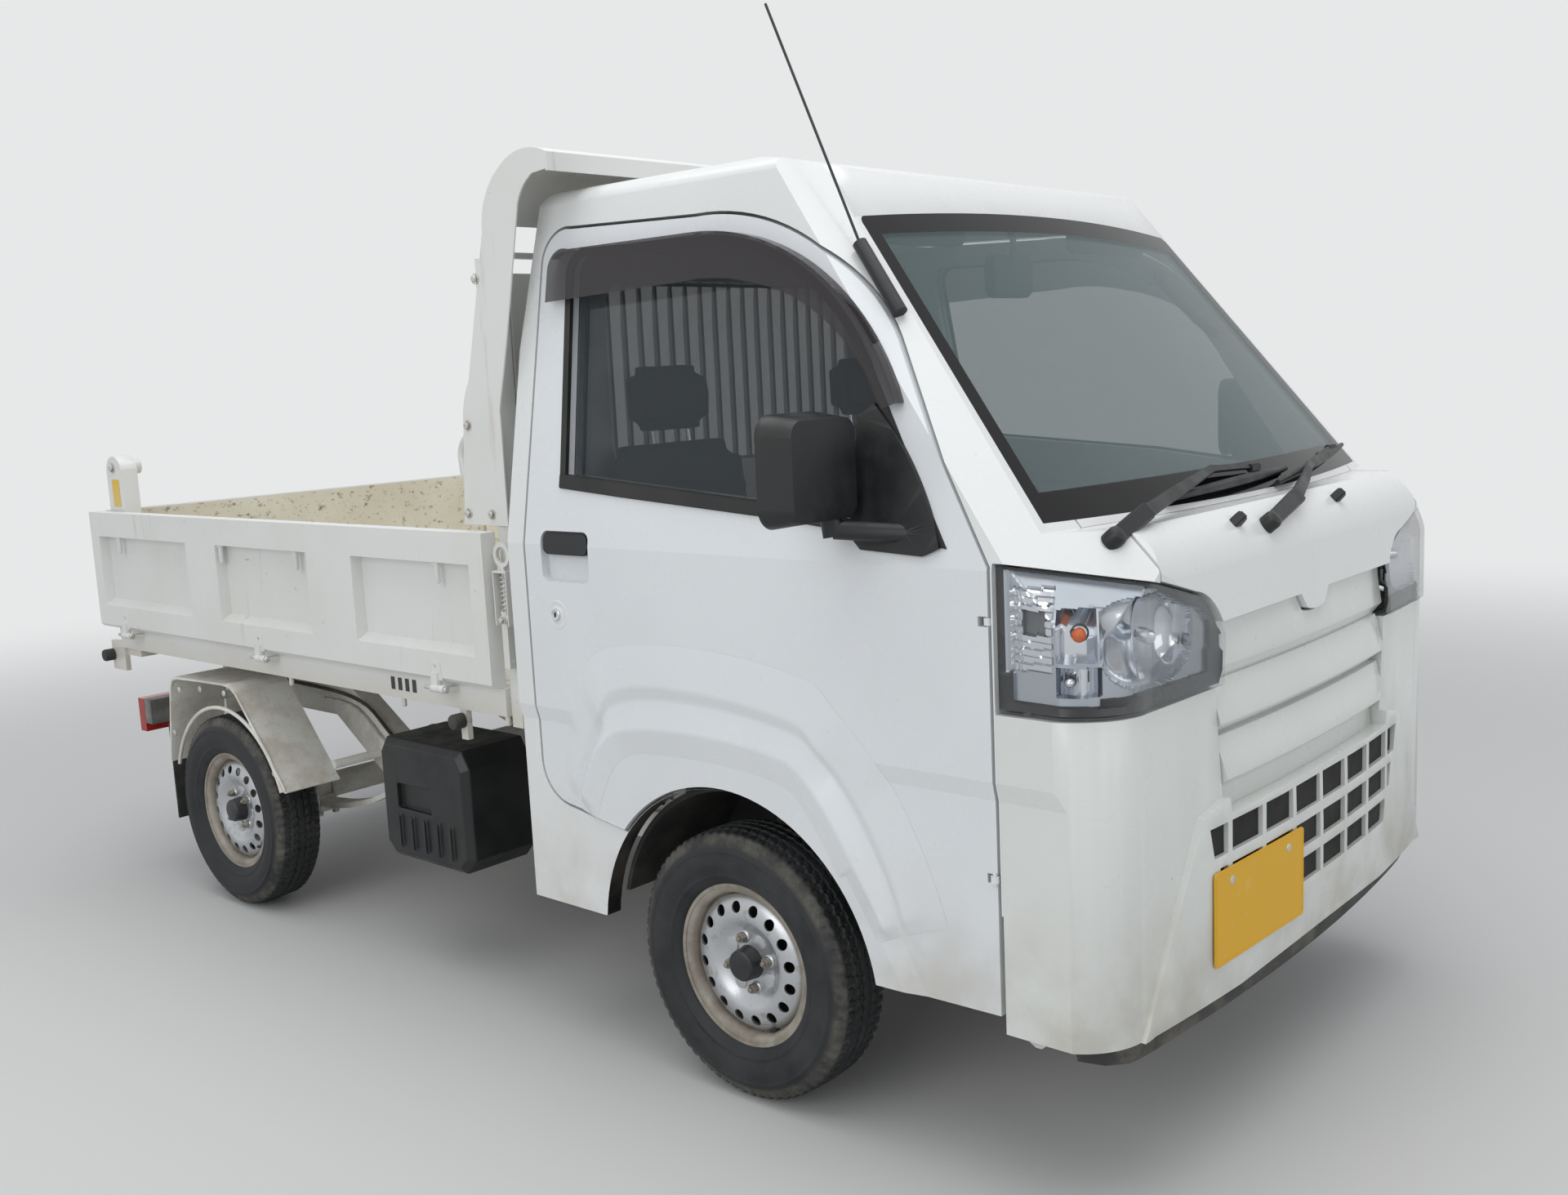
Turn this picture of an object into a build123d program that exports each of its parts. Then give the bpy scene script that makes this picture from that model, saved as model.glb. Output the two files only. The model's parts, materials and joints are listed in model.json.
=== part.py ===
from build123d import *
from math import sqrt
import os

os.makedirs("parts", exist_ok=True)

# A kei dump truck, mm. The front faces -Y, the driver sits on the -X side and the ground is z = 0.
# Overall sizes
LENGTH = 3395
BODY_WIDTH = 1475
HALF_WIDTH = BODY_WIDTH / 2
FRONT_AXLE_Y = -857
FRONT_OVERHANG = 840.5
FRONT_Y = FRONT_AXLE_Y - FRONT_OVERHANG
REAR_Y = FRONT_Y + LENGTH
WHEELBASE = 1900
REAR_AXLE_Y = FRONT_AXLE_Y + WHEELBASE
FRONT_TRACK = 1305
REAR_TRACK = 1300

# Cab form
BELT_Z = 1060
EAVE_Z = 1735
EAVE_HALF_WIDTH = 618
SILL_Z = 300
CREASE_TOP_Z = 722
CREASE_LOW_Z = 690
CREASE_DEPTH = 8
WALL = 45
ROOF_WALL = 28
CAB_REAR_Y = -285
ROOF_CROWN_Z = 1782
SCREEN_BASE_Y = -1572
SCREEN_BASE_Z = 1112
SCREEN_TOP_Y = -1137
SCREEN_TOP_Z = 1643
SCREEN_BOW_RADIUS = 4000
SCREEN_GLASS = 8
GLASS_SEAT = 14
SEAM = 4

# Doors
DOOR_GAP = 6
DOOR_REAR_Y = -335
DOOR_FRONT_Y = -1465
ARCH_RADIUS = 350
WINDOW_SLOT = 9
DOOR_GLASS = 5
VISOR_STAND_OFF = 24
VISOR_WALL = 3

# Nose
NOSE_WALL = 40
NOSE_SIDE_Y = DOOR_FRONT_Y - 3
LAMP_LENS = 6
LAMP_GAP = 3

# Wheels
WHEEL_CENTRE_Z = 265
TYRE_RADIUS = 265
TYRE_WIDTH = 145
BEAD_RADIUS = 168
RIM_SEAT_RADIUS = 152

# Load bed
DECK_Z = 735
DECK_THICKNESS = 6
DECK_INSET = 47.5
DECK_HALF = HALF_WIDTH - DECK_INSET
BED_REAR_Y = REAR_Y - 99.5
GATE_TOP_Z = 1075
GATE_GAP = 5
GATE_WALL = 38
GATE_FRONT_Y = -196
GATE_REAR_Y = BED_REAR_Y + 42
BED_SILL_Z = 697
GATE_HINGE_Z = 724
GATE_HINGE_X = HALF_WIDTH + 5
TAILGATE_PIVOT_Y = BED_REAR_Y - 42
TAILGATE_PIVOT_Z = 1200
BED_HINGE_Y = BED_REAR_Y - 108
BED_HINGE_Z = 612


def drawn(start, steps):
    """A closed outline from start, where a step is (end,) for a line or (middle, end) for an arc."""
    with BuildLine() as line:
        here = start
        for step in steps:
            if len(step) == 1:
                Line(here, step[0])
            else:
                ThreePointArc(here, step[0], step[1])
            here = step[-1]
        if (Vector(*here) - Vector(*start)).length > 0.001:
            Line(here, start)
    return line.line


def prism_x(outline, x_low, x_high):
    """An outline in (y, z) run across the truck."""
    with BuildPart() as prism:
        with BuildSketch(Plane.YZ.offset(x_low)):
            add(outline)
            make_face()
        extrude(amount=x_high - x_low)
    return prism.part


def prism_y(outline, y_low, y_high):
    """An outline in (x, z) run along the truck."""
    with BuildPart() as prism:
        with BuildSketch(Plane.XZ.offset(-y_high)):
            add(outline)
            make_face()
        extrude(amount=y_high - y_low)
    return prism.part


def prism_z(outline, z_low, z_high):
    """An outline in (x, y) run upwards."""
    with BuildPart() as prism:
        with BuildSketch(Plane.XY.offset(z_low)):
            add(outline)
            make_face()
        extrude(amount=z_high - z_low)
    return prism.part


def block(x_low, x_high, y_low, y_high, z_low, z_high):
    """A plain rectangular bar or plate between its six faces."""
    with BuildPart() as bar:
        with BuildSketch(Plane.XY.offset(z_low)):
            with Locations(((x_low + x_high) / 2, (y_low + y_high) / 2)):
                Rectangle(x_high - x_low, y_high - y_low)
        extrude(amount=z_high - z_low)
    return bar.part


def rod(start, end, radius, bore=0):
    """A round bar or tube between two points."""
    axis = Vector(*end) - Vector(*start)
    with BuildPart() as bar:
        with BuildSketch(Plane(origin=start, z_dir=axis)):
            Circle(radius)
            if bore > 0:
                Circle(bore, mode=Mode.SUBTRACT)
        extrude(amount=axis.length)
    return bar.part


def side_line(z, offset=0):
    """Half width of the cab at height z, grown by offset."""
    lean = (HALF_WIDTH - EAVE_HALF_WIDTH) / (EAVE_Z - BELT_Z)
    return HALF_WIDTH + offset - max(0, z - BELT_Z) * lean


def side_band(inner, outer, z_low, z_high, y_low, y_high):
    """A slab that follows the driver's side, between two offsets from the cab's surface."""
    z_bend = min(max(BELT_Z, z_low + 1), z_high - 1)
    outline = drawn(
        (-side_line(z_low, outer), z_low),
        [
            ((-side_line(z_bend, outer), z_bend),),
            ((-side_line(z_high, outer), z_high),),
            ((-side_line(z_high, inner), z_high),),
            ((-side_line(z_bend, inner), z_bend),),
            ((-side_line(z_low, inner), z_low),),
        ],
    )
    return prism_y(outline, y_low, y_high)


def both(part):
    """A piece of the driver's side and its mirror image, as one node's solids."""
    with BuildPart() as pair:
        add(part)
        mirror(about=Plane.YZ)
    return pair.part


def write(part, name):
    """Labels one finished piece and writes its file."""
    part.label = name
    export_step(part, f"parts/{name}.step")


# Cab form: a side outline, a front outline and a plan outline meet, and the screen and pillar cuts trim them
side_form = prism_x(
    drawn(
        (CAB_REAR_Y, SILL_Z),
        [
            ((CAB_REAR_Y, 1450),),
            ((CAB_REAR_Y - 35, 1742),),
            ((-345, 1762), (-400, 1770)),
            ((-700, ROOF_CROWN_Z), (-950, 1756)),
            ((-1075, 1716), (-1165, 1660)),
            ((-1610, SCREEN_BASE_Z),),
            ((-1650, 1080), (-1672, 1030)),
            ((-1686, 905),),
            ((-1694, 640),),
            ((FRONT_Y, 500),),
            ((FRONT_Y, 400),),
            ((-1688, SILL_Z),),
        ],
    ),
    -HALF_WIDTH,
    HALF_WIDTH,
)

front_form = prism_y(
    drawn(
        (-HALF_WIDTH + CREASE_DEPTH, SILL_Z),
        [
            ((-HALF_WIDTH + CREASE_DEPTH, CREASE_LOW_Z),),
            ((-HALF_WIDTH, CREASE_TOP_Z),),
            ((-HALF_WIDTH, BELT_Z),),
            ((-EAVE_HALF_WIDTH, EAVE_Z),),
            ((-603, 1755), (-560, 1763)),
            ((0, ROOF_CROWN_Z), (560, 1763)),
            ((603, 1755), (EAVE_HALF_WIDTH, EAVE_Z)),
            ((HALF_WIDTH, BELT_Z),),
            ((HALF_WIDTH, CREASE_TOP_Z),),
            ((HALF_WIDTH - CREASE_DEPTH, CREASE_LOW_Z),),
            ((HALF_WIDTH - CREASE_DEPTH, SILL_Z),),
        ],
    ),
    FRONT_Y - 10,
    CAB_REAR_Y + 10,
)

NOSE_ARC_X = 600
NOSE_ARC_SAG = 32
CORNER_MIDDLE = (700, 62)
CORNER_END_Y = 205


def plan_outline(inset):
    """The nose in plan, shrunk by inset: a shallow front arc and two corner arcs."""
    front = FRONT_Y + inset
    side = HALF_WIDTH - inset
    corner_x = NOSE_ARC_X - inset / 2
    middle = (CORNER_MIDDLE[0] - inset * 0.72, front + CORNER_MIDDLE[1] - inset * 0.1)
    return drawn(
        (-side, CAB_REAR_Y + 10),
        [
            ((-side, front + CORNER_END_Y),),
            ((-middle[0], middle[1]), (-corner_x, front + NOSE_ARC_SAG)),
            ((0, front), (corner_x, front + NOSE_ARC_SAG)),
            (middle, (side, front + CORNER_END_Y)),
            ((side, CAB_REAR_Y + 10),),
        ],
    )


screen_slope = Vector(0, SCREEN_TOP_Y - SCREEN_BASE_Y, SCREEN_TOP_Z - SCREEN_BASE_Z).normalized()
SCREEN_HALF_SPAN = 900
SCREEN_RUN = 1100


def screen_slice(front_y, rear_y):
    """The space between two bowed arcs, run up the slope of the windscreen from its base."""
    sag = SCREEN_BOW_RADIUS - sqrt(SCREEN_BOW_RADIUS**2 - SCREEN_HALF_SPAN**2)
    with BuildPart() as slab:
        with BuildSketch(Plane.XY.offset(SCREEN_BASE_Z)):
            with BuildLine():
                rear_right = (-SCREEN_HALF_SPAN, rear_y + sag)
                rear_left = (SCREEN_HALF_SPAN, rear_y + sag)
                front_left = (SCREEN_HALF_SPAN, front_y + sag)
                front_right = (-SCREEN_HALF_SPAN, front_y + sag)
                ThreePointArc(rear_right, (0, rear_y), rear_left)
                Line(rear_left, front_left)
                ThreePointArc(front_left, (0, front_y), front_right)
                Line(front_right, rear_right)
            make_face()
        extrude(amount=SCREEN_RUN, dir=screen_slope)
    return slab.part


# The pillar cut is a plane through the screen's edge and the door's front edge
PILLAR_POINTS = [(-662, -1506, 1128), (-728, -1436, 1133), (-566, -1104, 1643)]
pillar_origin = Vector(*PILLAR_POINTS[0])
pillar_normal = (Vector(*PILLAR_POINTS[1]) - pillar_origin).cross(Vector(*PILLAR_POINTS[2]) - pillar_origin)
if pillar_normal.X > 0:
    pillar_normal = pillar_normal * -1
pillar_normal = pillar_normal.normalized()
PILLAR_WALL = 22
SCREEN_WALL = 34


def pillar_cut(depth):
    """The space outside both pillar planes once they are moved into the cab by depth."""
    with BuildPart() as outside:
        with BuildSketch(Plane(origin=pillar_origin - pillar_normal * depth, z_dir=pillar_normal)):
            Rectangle(2400, 2400)
        extrude(amount=300)
        mirror(about=Plane.YZ)
    return outside.part


with BuildPart() as cab_form:
    add(side_form)
    add(front_form, mode=Mode.INTERSECT)
    add(prism_z(plan_outline(0), SILL_Z - 10, ROOF_CROWN_Z + 20), mode=Mode.INTERSECT)
    add(screen_slice(SCREEN_BASE_Y - 600, SCREEN_BASE_Y), mode=Mode.SUBTRACT)
    add(pillar_cut(0), mode=Mode.SUBTRACT)

# The cabin inside the walls
with BuildPart() as cabin:
    add(
        prism_x(
            drawn(
                (CAB_REAR_Y - WALL, SILL_Z - 5),
                [
                    ((CAB_REAR_Y - WALL, 1450),),
                    ((CAB_REAR_Y - 35 - WALL, ROOF_CROWN_Z - 60),),
                    ((-700, ROOF_CROWN_Z - ROOF_WALL), (-1050, 1700)),
                    ((-1120, 1636),),
                    ((-1500, SCREEN_BASE_Z - 10),),
                    ((-1500, SILL_Z - 5),),
                ],
            ),
            -HALF_WIDTH,
            HALF_WIDTH,
        )
    )
    add(
        prism_y(
            drawn(
                (-HALF_WIDTH + WALL, SILL_Z - 5),
                [
                    ((-HALF_WIDTH + WALL, BELT_Z),),
                    ((-EAVE_HALF_WIDTH + WALL, EAVE_Z - 10),),
                    ((0, ROOF_CROWN_Z - ROOF_WALL), (EAVE_HALF_WIDTH - WALL, EAVE_Z - 10)),
                    ((HALF_WIDTH - WALL, BELT_Z),),
                    ((HALF_WIDTH - WALL, SILL_Z - 5),),
                ],
            ),
            -1510,
            CAB_REAR_Y,
        ),
        mode=Mode.INTERSECT,
    )
    add(screen_slice(SCREEN_BASE_Y - 600, SCREEN_BASE_Y + SCREEN_WALL), mode=Mode.SUBTRACT)
    add(pillar_cut(PILLAR_WALL), mode=Mode.SUBTRACT)

with BuildPart() as cab_shell:
    add(cab_form.part)
    add(cabin.part, mode=Mode.SUBTRACT)

# Door hinges: each strap's eye on the body holds a pin in a notch of the door's front edge
HINGE_AXIS = (-HALF_WIDTH + 7, DOOR_FRONT_Y + DOOR_GAP + 4)
HINGE_HEIGHTS = (560, 980)
STRAP_HALF = 6
NOTCH_HALF = 8
DOOR_PIN = 3.5
DOOR_PIN_CLEARANCE = 0.5
EYE_OUTER = 7

# Openings
screen_edge = drawn(
    (-648, 1126),
    [
        ((-566, 1622),),
        ((-561, 1636), (-546, 1642)),
        ((0, 1662), (546, 1642)),
        ((561, 1636), (566, 1622)),
        ((648, 1126),),
        ((0, 1120), (-648, 1126)),
    ],
)
screen_hole = drawn(
    (-648 + GLASS_SEAT, 1126 + GLASS_SEAT),
    [
        ((-566 + GLASS_SEAT, 1622 - GLASS_SEAT / 2),),
        ((0, 1662 - GLASS_SEAT), (566 - GLASS_SEAT, 1622 - GLASS_SEAT / 2)),
        ((648 - GLASS_SEAT, 1126 + GLASS_SEAT),),
        ((0, 1120 + GLASS_SEAT), (-648 + GLASS_SEAT, 1126 + GLASS_SEAT)),
    ],
)
with BuildPart() as windscreen:
    add(screen_slice(SCREEN_BASE_Y - 40, SCREEN_BASE_Y + SCREEN_GLASS))
    add(cab_form.part, mode=Mode.INTERSECT)
    add(prism_y(screen_edge, FRONT_Y, -1000), mode=Mode.INTERSECT)
screen_opening = prism_y(screen_hole, FRONT_Y, -1020)

door_edge = drawn(
    (DOOR_REAR_Y, 1620),
    [
        ((DOOR_REAR_Y, 600),),
        ((-360, 545), (-410, 517)),
        ((-588, 490),),
        ((FRONT_AXLE_Y, WHEEL_CENTRE_Z + ARCH_RADIUS), (FRONT_AXLE_Y - 346, 318)),
        ((DOOR_FRONT_Y, 323),),
        ((DOOR_FRONT_Y, BELT_Z + 6),),
        ((-1252, 1410),),
        ((-1076, 1592), (-768, 1676)),
        ((-420, 1688),),
        ((-360, 1672), (DOOR_REAR_Y, 1620)),
    ],
)
window_edge = drawn(
    (-452, 1196),
    [
        ((-430, 1585),),
        ((-440, 1618), (-474, 1628)),
        ((-770, 1622),),
        ((-1040, 1545), (-1212, 1352)),
        ((-1362, 1104),),
        ((-1000, 1152),),
    ],
)


def shrunk(outline, amount):
    """The same outline moved inwards (or outwards where amount is negative)."""
    with BuildSketch() as face:
        add(outline)
        make_face()
        offset(amount=-amount, kind=Kind.INTERSECTION, mode=Mode.REPLACE)
    return face.sketch


def prism_of_face(face, x_low, x_high):
    """A face drawn as (y, z) run across the truck."""
    with BuildPart() as prism:
        with BuildSketch(Plane.YZ.offset(x_low)):
            add(face)
        extrude(amount=x_high - x_low)
    return prism.part


door_opening = prism_x(door_edge, -HALF_WIDTH - 10, -400)
window_opening = prism_x(window_edge, -HALF_WIDTH - 10, -400)

# The nose lies ahead of the doors: its skin splits into bumper, grille, bonnet and lamps
with BuildPart() as nose_core:
    add(prism_z(plan_outline(NOSE_WALL), SILL_Z - 20, SCREEN_BASE_Z - 12))
    add(
        prism_x(
            drawn(
                (-1400, SILL_Z - 20),
                [
                    ((-1400, SCREEN_BASE_Z - 14),),
                    ((-1600, SCREEN_BASE_Z - 30),),
                    ((-1635, 1020),),
                    ((-1646, 905),),
                    ((FRONT_Y + NOSE_WALL, 500),),
                    ((FRONT_Y + NOSE_WALL, SILL_Z - 20),),
                ],
            ),
            -HALF_WIDTH,
            HALF_WIDTH,
        ),
        mode=Mode.INTERSECT,
    )
    add(pillar_cut(PILLAR_WALL), mode=Mode.SUBTRACT)
with BuildPart() as nose_skin:
    add(cab_form.part)
    add(block(-HALF_WIDTH, HALF_WIDTH, FRONT_Y - 5, NOSE_SIDE_Y, SILL_Z - 5, 1400), mode=Mode.INTERSECT)
    add(nose_core.part, mode=Mode.SUBTRACT)
    add(windscreen.part, mode=Mode.SUBTRACT)

lamp_edge = drawn(
    (-382, 834),
    [
        ((-376, 915),),
        ((-398, 962), (-465, 1000)),
        ((-570, 1030),),
        ((-HALF_WIDTH - 5, 1074),),
        ((-HALF_WIDTH - 5, 836),),
        ((-600, 832),),
    ],
)
lamp_zone = prism_y(lamp_edge, FRONT_Y - 10, NOSE_SIDE_Y)
lamp_inner = prism_y(shrunk(lamp_edge, LAMP_GAP).wires()[0], FRONT_Y - 10, NOSE_SIDE_Y)

# Cab panels
PANEL_SPLIT_X = 590
ROOF_SEAM_Z = 1640
BACK_SEAM_Z = 1712
BACK_LOW_Z = 470
BACK_LOW_HALF = 680
with BuildPart() as body_shell:
    add(cab_shell.part)
    add(block(-HALF_WIDTH, HALF_WIDTH, NOSE_SIDE_Y, CAB_REAR_Y + 5, SILL_Z - 5, 1850), mode=Mode.INTERSECT)
    add(windscreen.part, mode=Mode.SUBTRACT)
    add(screen_opening, mode=Mode.SUBTRACT)
    add(both(door_opening), mode=Mode.SUBTRACT)
    under_back = block(-BACK_LOW_HALF, BACK_LOW_HALF, -600, CAB_REAR_Y + 5, SILL_Z - 5, BACK_LOW_Z)
    add(under_back, mode=Mode.SUBTRACT)
back_zone = block(-PANEL_SPLIT_X, PANEL_SPLIT_X, -400, CAB_REAR_Y + 5, SILL_Z - 5, BACK_SEAM_Z)
roof_zone = block(-PANEL_SPLIT_X, PANEL_SPLIT_X, -1250, CAB_REAR_Y + 5, ROOF_SEAM_Z, 1850)

with BuildPart() as roof_panel:
    add(body_shell.part)
    add(roof_zone, mode=Mode.INTERSECT)
    add(back_zone, mode=Mode.SUBTRACT)
write(roof_panel.part, "roof_panel")

# The back window's outline in (x, z)
BACK_WINDOW_HALF = 470
BACK_WINDOW_LOW = 1180
BACK_WINDOW_HIGH = 1590
BACK_GLASS = 5
with BuildPart() as back_window_hole:
    with BuildSketch(Plane.XZ.offset(-CAB_REAR_Y - 10)):
        with Locations((0, (BACK_WINDOW_LOW + BACK_WINDOW_HIGH) / 2)):
            RectangleRounded(2 * BACK_WINDOW_HALF, BACK_WINDOW_HIGH - BACK_WINDOW_LOW, 60)
    extrude(amount=140)
with BuildPart() as rear_window:
    with BuildSketch(Plane.XZ.offset(-CAB_REAR_Y + 20)):
        with Locations((0, (BACK_WINDOW_LOW + BACK_WINDOW_HIGH) / 2)):
            RectangleRounded(
                2 * (BACK_WINDOW_HALF + GLASS_SEAT), BACK_WINDOW_HIGH - BACK_WINDOW_LOW + 2 * GLASS_SEAT, 70
            )
    extrude(amount=BACK_GLASS)
with BuildPart() as back_panel:
    add(body_shell.part)
    add(back_zone, mode=Mode.INTERSECT)
    add(back_window_hole.part, mode=Mode.SUBTRACT)
    add(rear_window.part, mode=Mode.SUBTRACT)
write(back_panel.part, "back_panel")
write(rear_window.part, "rear_window")

FENDER_SEAM_X = 574
arch_disc = rod(
    (-HALF_WIDTH - 10, FRONT_AXLE_Y, WHEEL_CENTRE_Z), (-400, FRONT_AXLE_Y, WHEEL_CENTRE_Z), ARCH_RADIUS
)
with BuildPart() as side_frame:
    add(body_shell.part)
    add(block(-HALF_WIDTH, -400, NOSE_SIDE_Y, CAB_REAR_Y + 5, SILL_Z - 5, 1850), mode=Mode.INTERSECT)
    add(roof_zone, mode=Mode.SUBTRACT)
    add(back_zone, mode=Mode.SUBTRACT)
    add(arch_disc, mode=Mode.SUBTRACT)
    add(block(-HALF_WIDTH, -400, NOSE_SIDE_Y, FRONT_AXLE_Y, SILL_Z - 5, 500), mode=Mode.SUBTRACT)
with BuildPart() as fender_corner:
    add(nose_skin.part)
    add(block(-HALF_WIDTH, -FENDER_SEAM_X, FRONT_Y, NOSE_SIDE_Y, 1000, 1400), mode=Mode.INTERSECT)
    add(lamp_zone, mode=Mode.SUBTRACT)
    add(screen_opening, mode=Mode.SUBTRACT)
with BuildPart() as side_frames:
    add(side_frame.part)
    add(fender_corner.part)
    mirror(about=Plane.YZ)
write(side_frames.part, "side_frames")
write(windscreen.part, "windscreen")

# Cowl and firewall behind the bonnet, with the straps of the door hinges
FIREWALL_Y = -1500
FIREWALL_WALL = 14
FIREWALL_HALF = 685
with BuildPart() as hinge_straps:
    for hinge_z in HINGE_HEIGHTS:
        low = hinge_z - STRAP_HALF
        high = hinge_z + STRAP_HALF
        add(block(-FIREWALL_HALF - 2, -FIREWALL_HALF + 8, FIREWALL_Y, HINGE_AXIS[1] + 4, low, high))
        add(block(HINGE_AXIS[0], -FIREWALL_HALF, HINGE_AXIS[1] - 4, HINGE_AXIS[1] + 4, low, high))
        add(rod((*HINGE_AXIS, low), (*HINGE_AXIS, high), EYE_OUTER))
        eye_bore = rod((*HINGE_AXIS, low - 1), (*HINGE_AXIS, high + 1), DOOR_PIN + DOOR_PIN_CLEARANCE)
        add(eye_bore, mode=Mode.SUBTRACT)
with BuildPart() as cowl:
    add(nose_skin.part)
    cowl_zone = block(-FENDER_SEAM_X + SEAM, FENDER_SEAM_X - SEAM, -1640, NOSE_SIDE_Y, 1060, 1400)
    add(cowl_zone, mode=Mode.INTERSECT)
    add(
        block(-HALF_WIDTH, HALF_WIDTH, -1650, FIREWALL_Y - 2, 1000, SCREEN_BASE_Z),
        mode=Mode.SUBTRACT,
    )
    add(screen_opening, mode=Mode.SUBTRACT)
    add(block(-570, 570, FIREWALL_Y, FIREWALL_Y + FIREWALL_WALL, 455, 1094))
    add(block(-FIREWALL_HALF, FIREWALL_HALF, FIREWALL_Y, FIREWALL_Y + FIREWALL_WALL, 455, 1070))
    add(both(hinge_straps.part))
write(cowl.part, "cowl")

# Bonnet lid with the notch in its lower edge
BONNET_LOW_Z = 942
bonnet_edge = drawn(
    (-FENDER_SEAM_X + SEAM, BONNET_LOW_Z),
    [
        ((-62, BONNET_LOW_Z),),
        ((-40, 914),),
        ((0, 909), (40, 914)),
        ((62, BONNET_LOW_Z),),
        ((FENDER_SEAM_X - SEAM, BONNET_LOW_Z),),
        ((FENDER_SEAM_X - SEAM, SCREEN_BASE_Z - 0.5),),
        ((-FENDER_SEAM_X + SEAM, SCREEN_BASE_Z - 0.5),),
    ],
)
lamp_pocket = both(prism_y(shrunk(lamp_edge, -LAMP_GAP).wires()[0], FRONT_Y - 10, NOSE_SIDE_Y + 20))
with BuildPart() as bonnet_panel:
    add(nose_skin.part)
    add(prism_y(bonnet_edge, FRONT_Y - 5, FIREWALL_Y - 4), mode=Mode.INTERSECT)
    add(lamp_pocket, mode=Mode.SUBTRACT)
write(bonnet_panel.part, "bonnet_panel")

# Grille: three overlapping bands, revolved about the centre of the nose's shallow front arc
GRILLE_TOP_Z = BONNET_LOW_Z - SEAM
GRILLE_LOW_Z = 612
# columns: band top z, band bottom z, top depth behind the front, bottom depth behind the front
GRILLE_BANDS = [
    (GRILLE_TOP_Z, 838, 26, 16),
    (838, 742, 30, 10),
    (742, 646, 24, 4),
]
GRILLE_BACK = 46
nose_radius = (NOSE_ARC_X**2 + NOSE_ARC_SAG**2) / (2 * NOSE_ARC_SAG)
GRILLE_HALF_ANGLE = 9
grille_points = [(FRONT_Y + GRILLE_BACK + 8, GRILLE_TOP_Z)]
for band_top, band_low, depth_top, depth_low in GRILLE_BANDS:
    grille_points.append((FRONT_Y + depth_top, band_top))
    grille_points.append((FRONT_Y + depth_low, band_low + 24))
    grille_points.append((FRONT_Y + depth_top + 10, band_low))
grille_points.append((FRONT_Y + 28, GRILLE_LOW_Z))
grille_points.append((FRONT_Y + 38, GRILLE_LOW_Z))
nose_axis = Axis((0, FRONT_Y + nose_radius, 0), (0, 0, 1))
with BuildPart() as grille_panel:
    with BuildSketch(Plane.YZ):
        with BuildLine():
            Polyline(*grille_points, close=True)
        make_face()
    revolve(axis=nose_axis, revolution_arc=GRILLE_HALF_ANGLE)
    mirror(about=Plane.YZ)
    add(
        prism_y(
            drawn(
                (-392, GRILLE_TOP_Z),
                [
                    ((392, GRILLE_TOP_Z),),
                    ((384, 834),),
                    ((356, GRILLE_LOW_Z),),
                    ((-356, GRILLE_LOW_Z),),
                    ((-384, 834),),
                ],
            ),
            FRONT_Y,
            FRONT_Y + 140,
        ),
        mode=Mode.INTERSECT,
    )
    add(lamp_pocket, mode=Mode.SUBTRACT)
    with BuildSketch(Plane.XZ.offset(-FRONT_Y + 10)):
        with BuildLine():
            Line((-62 - SEAM, GRILLE_TOP_Z + 5), (-40 - SEAM, 910))
            ThreePointArc((-40 - SEAM, 910), (0, 904), (40 + SEAM, 910))
            Line((40 + SEAM, 910), (62 + SEAM, GRILLE_TOP_Z + 5))
            Line((62 + SEAM, GRILLE_TOP_Z + 5), (-62 - SEAM, GRILLE_TOP_Z + 5))
        make_face()
    extrude(amount=-NOSE_WALL - 60, mode=Mode.SUBTRACT)
write(grille_panel.part, "grille_panel")

# Front bumper: the nose's skin below lamps and grille, with a proud middle panel and its air intake
INTAKE_TOP_Z = 600
# columns: row top z, row bottom z, half width at its top, half width at its bottom
INTAKE_ROWS = [
    (600, 546, 432, 418),
    (526, 478, 400, 386),
    (458, 412, 366, 350),
]
INTAKE_BARS = 7
INTAKE_BAR = 14
INTAKE_PITCH = 122
CORNER_STEP = 20
middle_edge = drawn(
    (-636, SILL_Z - 5),
    [((-452, 622),), ((-372, 640),), ((372, 640),), ((452, 622),), ((636, SILL_Z - 5),)],
)
corner_start = FRONT_Y + NOSE_ARC_SAG + CORNER_STEP * 0.4
corner_middle = FRONT_Y + CORNER_MIDDLE[1] + CORNER_STEP * 0.3
corner_end = FRONT_Y + CORNER_END_Y
corner_cut = prism_z(
    drawn(
        (-HALF_WIDTH - 20, FRONT_Y - 20),
        [
            ((HALF_WIDTH + 20, FRONT_Y - 20),),
            ((HALF_WIDTH + 20, corner_end),),
            ((HALF_WIDTH, corner_end),),
            ((CORNER_MIDDLE[0] - 3, corner_middle), (NOSE_ARC_X, corner_start)),
            ((0, FRONT_Y + CORNER_STEP), (-NOSE_ARC_X, corner_start)),
            ((3 - CORNER_MIDDLE[0], corner_middle), (-HALF_WIDTH, corner_end)),
            ((-HALF_WIDTH - 20, corner_end),),
        ],
    ),
    SILL_Z - 10,
    1000,
)
with BuildPart() as corner_trim:
    add(corner_cut)
    add(prism_y(middle_edge, FRONT_Y - 40, FRONT_Y + 200), mode=Mode.SUBTRACT)
with BuildPart() as intake:
    for row_top, row_low, half_top, half_low in INTAKE_ROWS:
        with BuildSketch(Plane.XZ.offset(-FRONT_Y + 10)):
            with BuildLine():
                top_corners = [(-half_top, row_top), (half_top, row_top)]
                low_corners = [(half_low, row_low), (-half_low, row_low)]
                Polyline(*top_corners, *low_corners, close=True)
            make_face()
            with GridLocations(INTAKE_PITCH, 1, INTAKE_BARS, 1):
                with Locations((0, (row_top + row_low) / 2)):
                    Rectangle(INTAKE_BAR, row_top - row_low + 2, mode=Mode.SUBTRACT)
        extrude(amount=-NOSE_WALL - 60)
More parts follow.
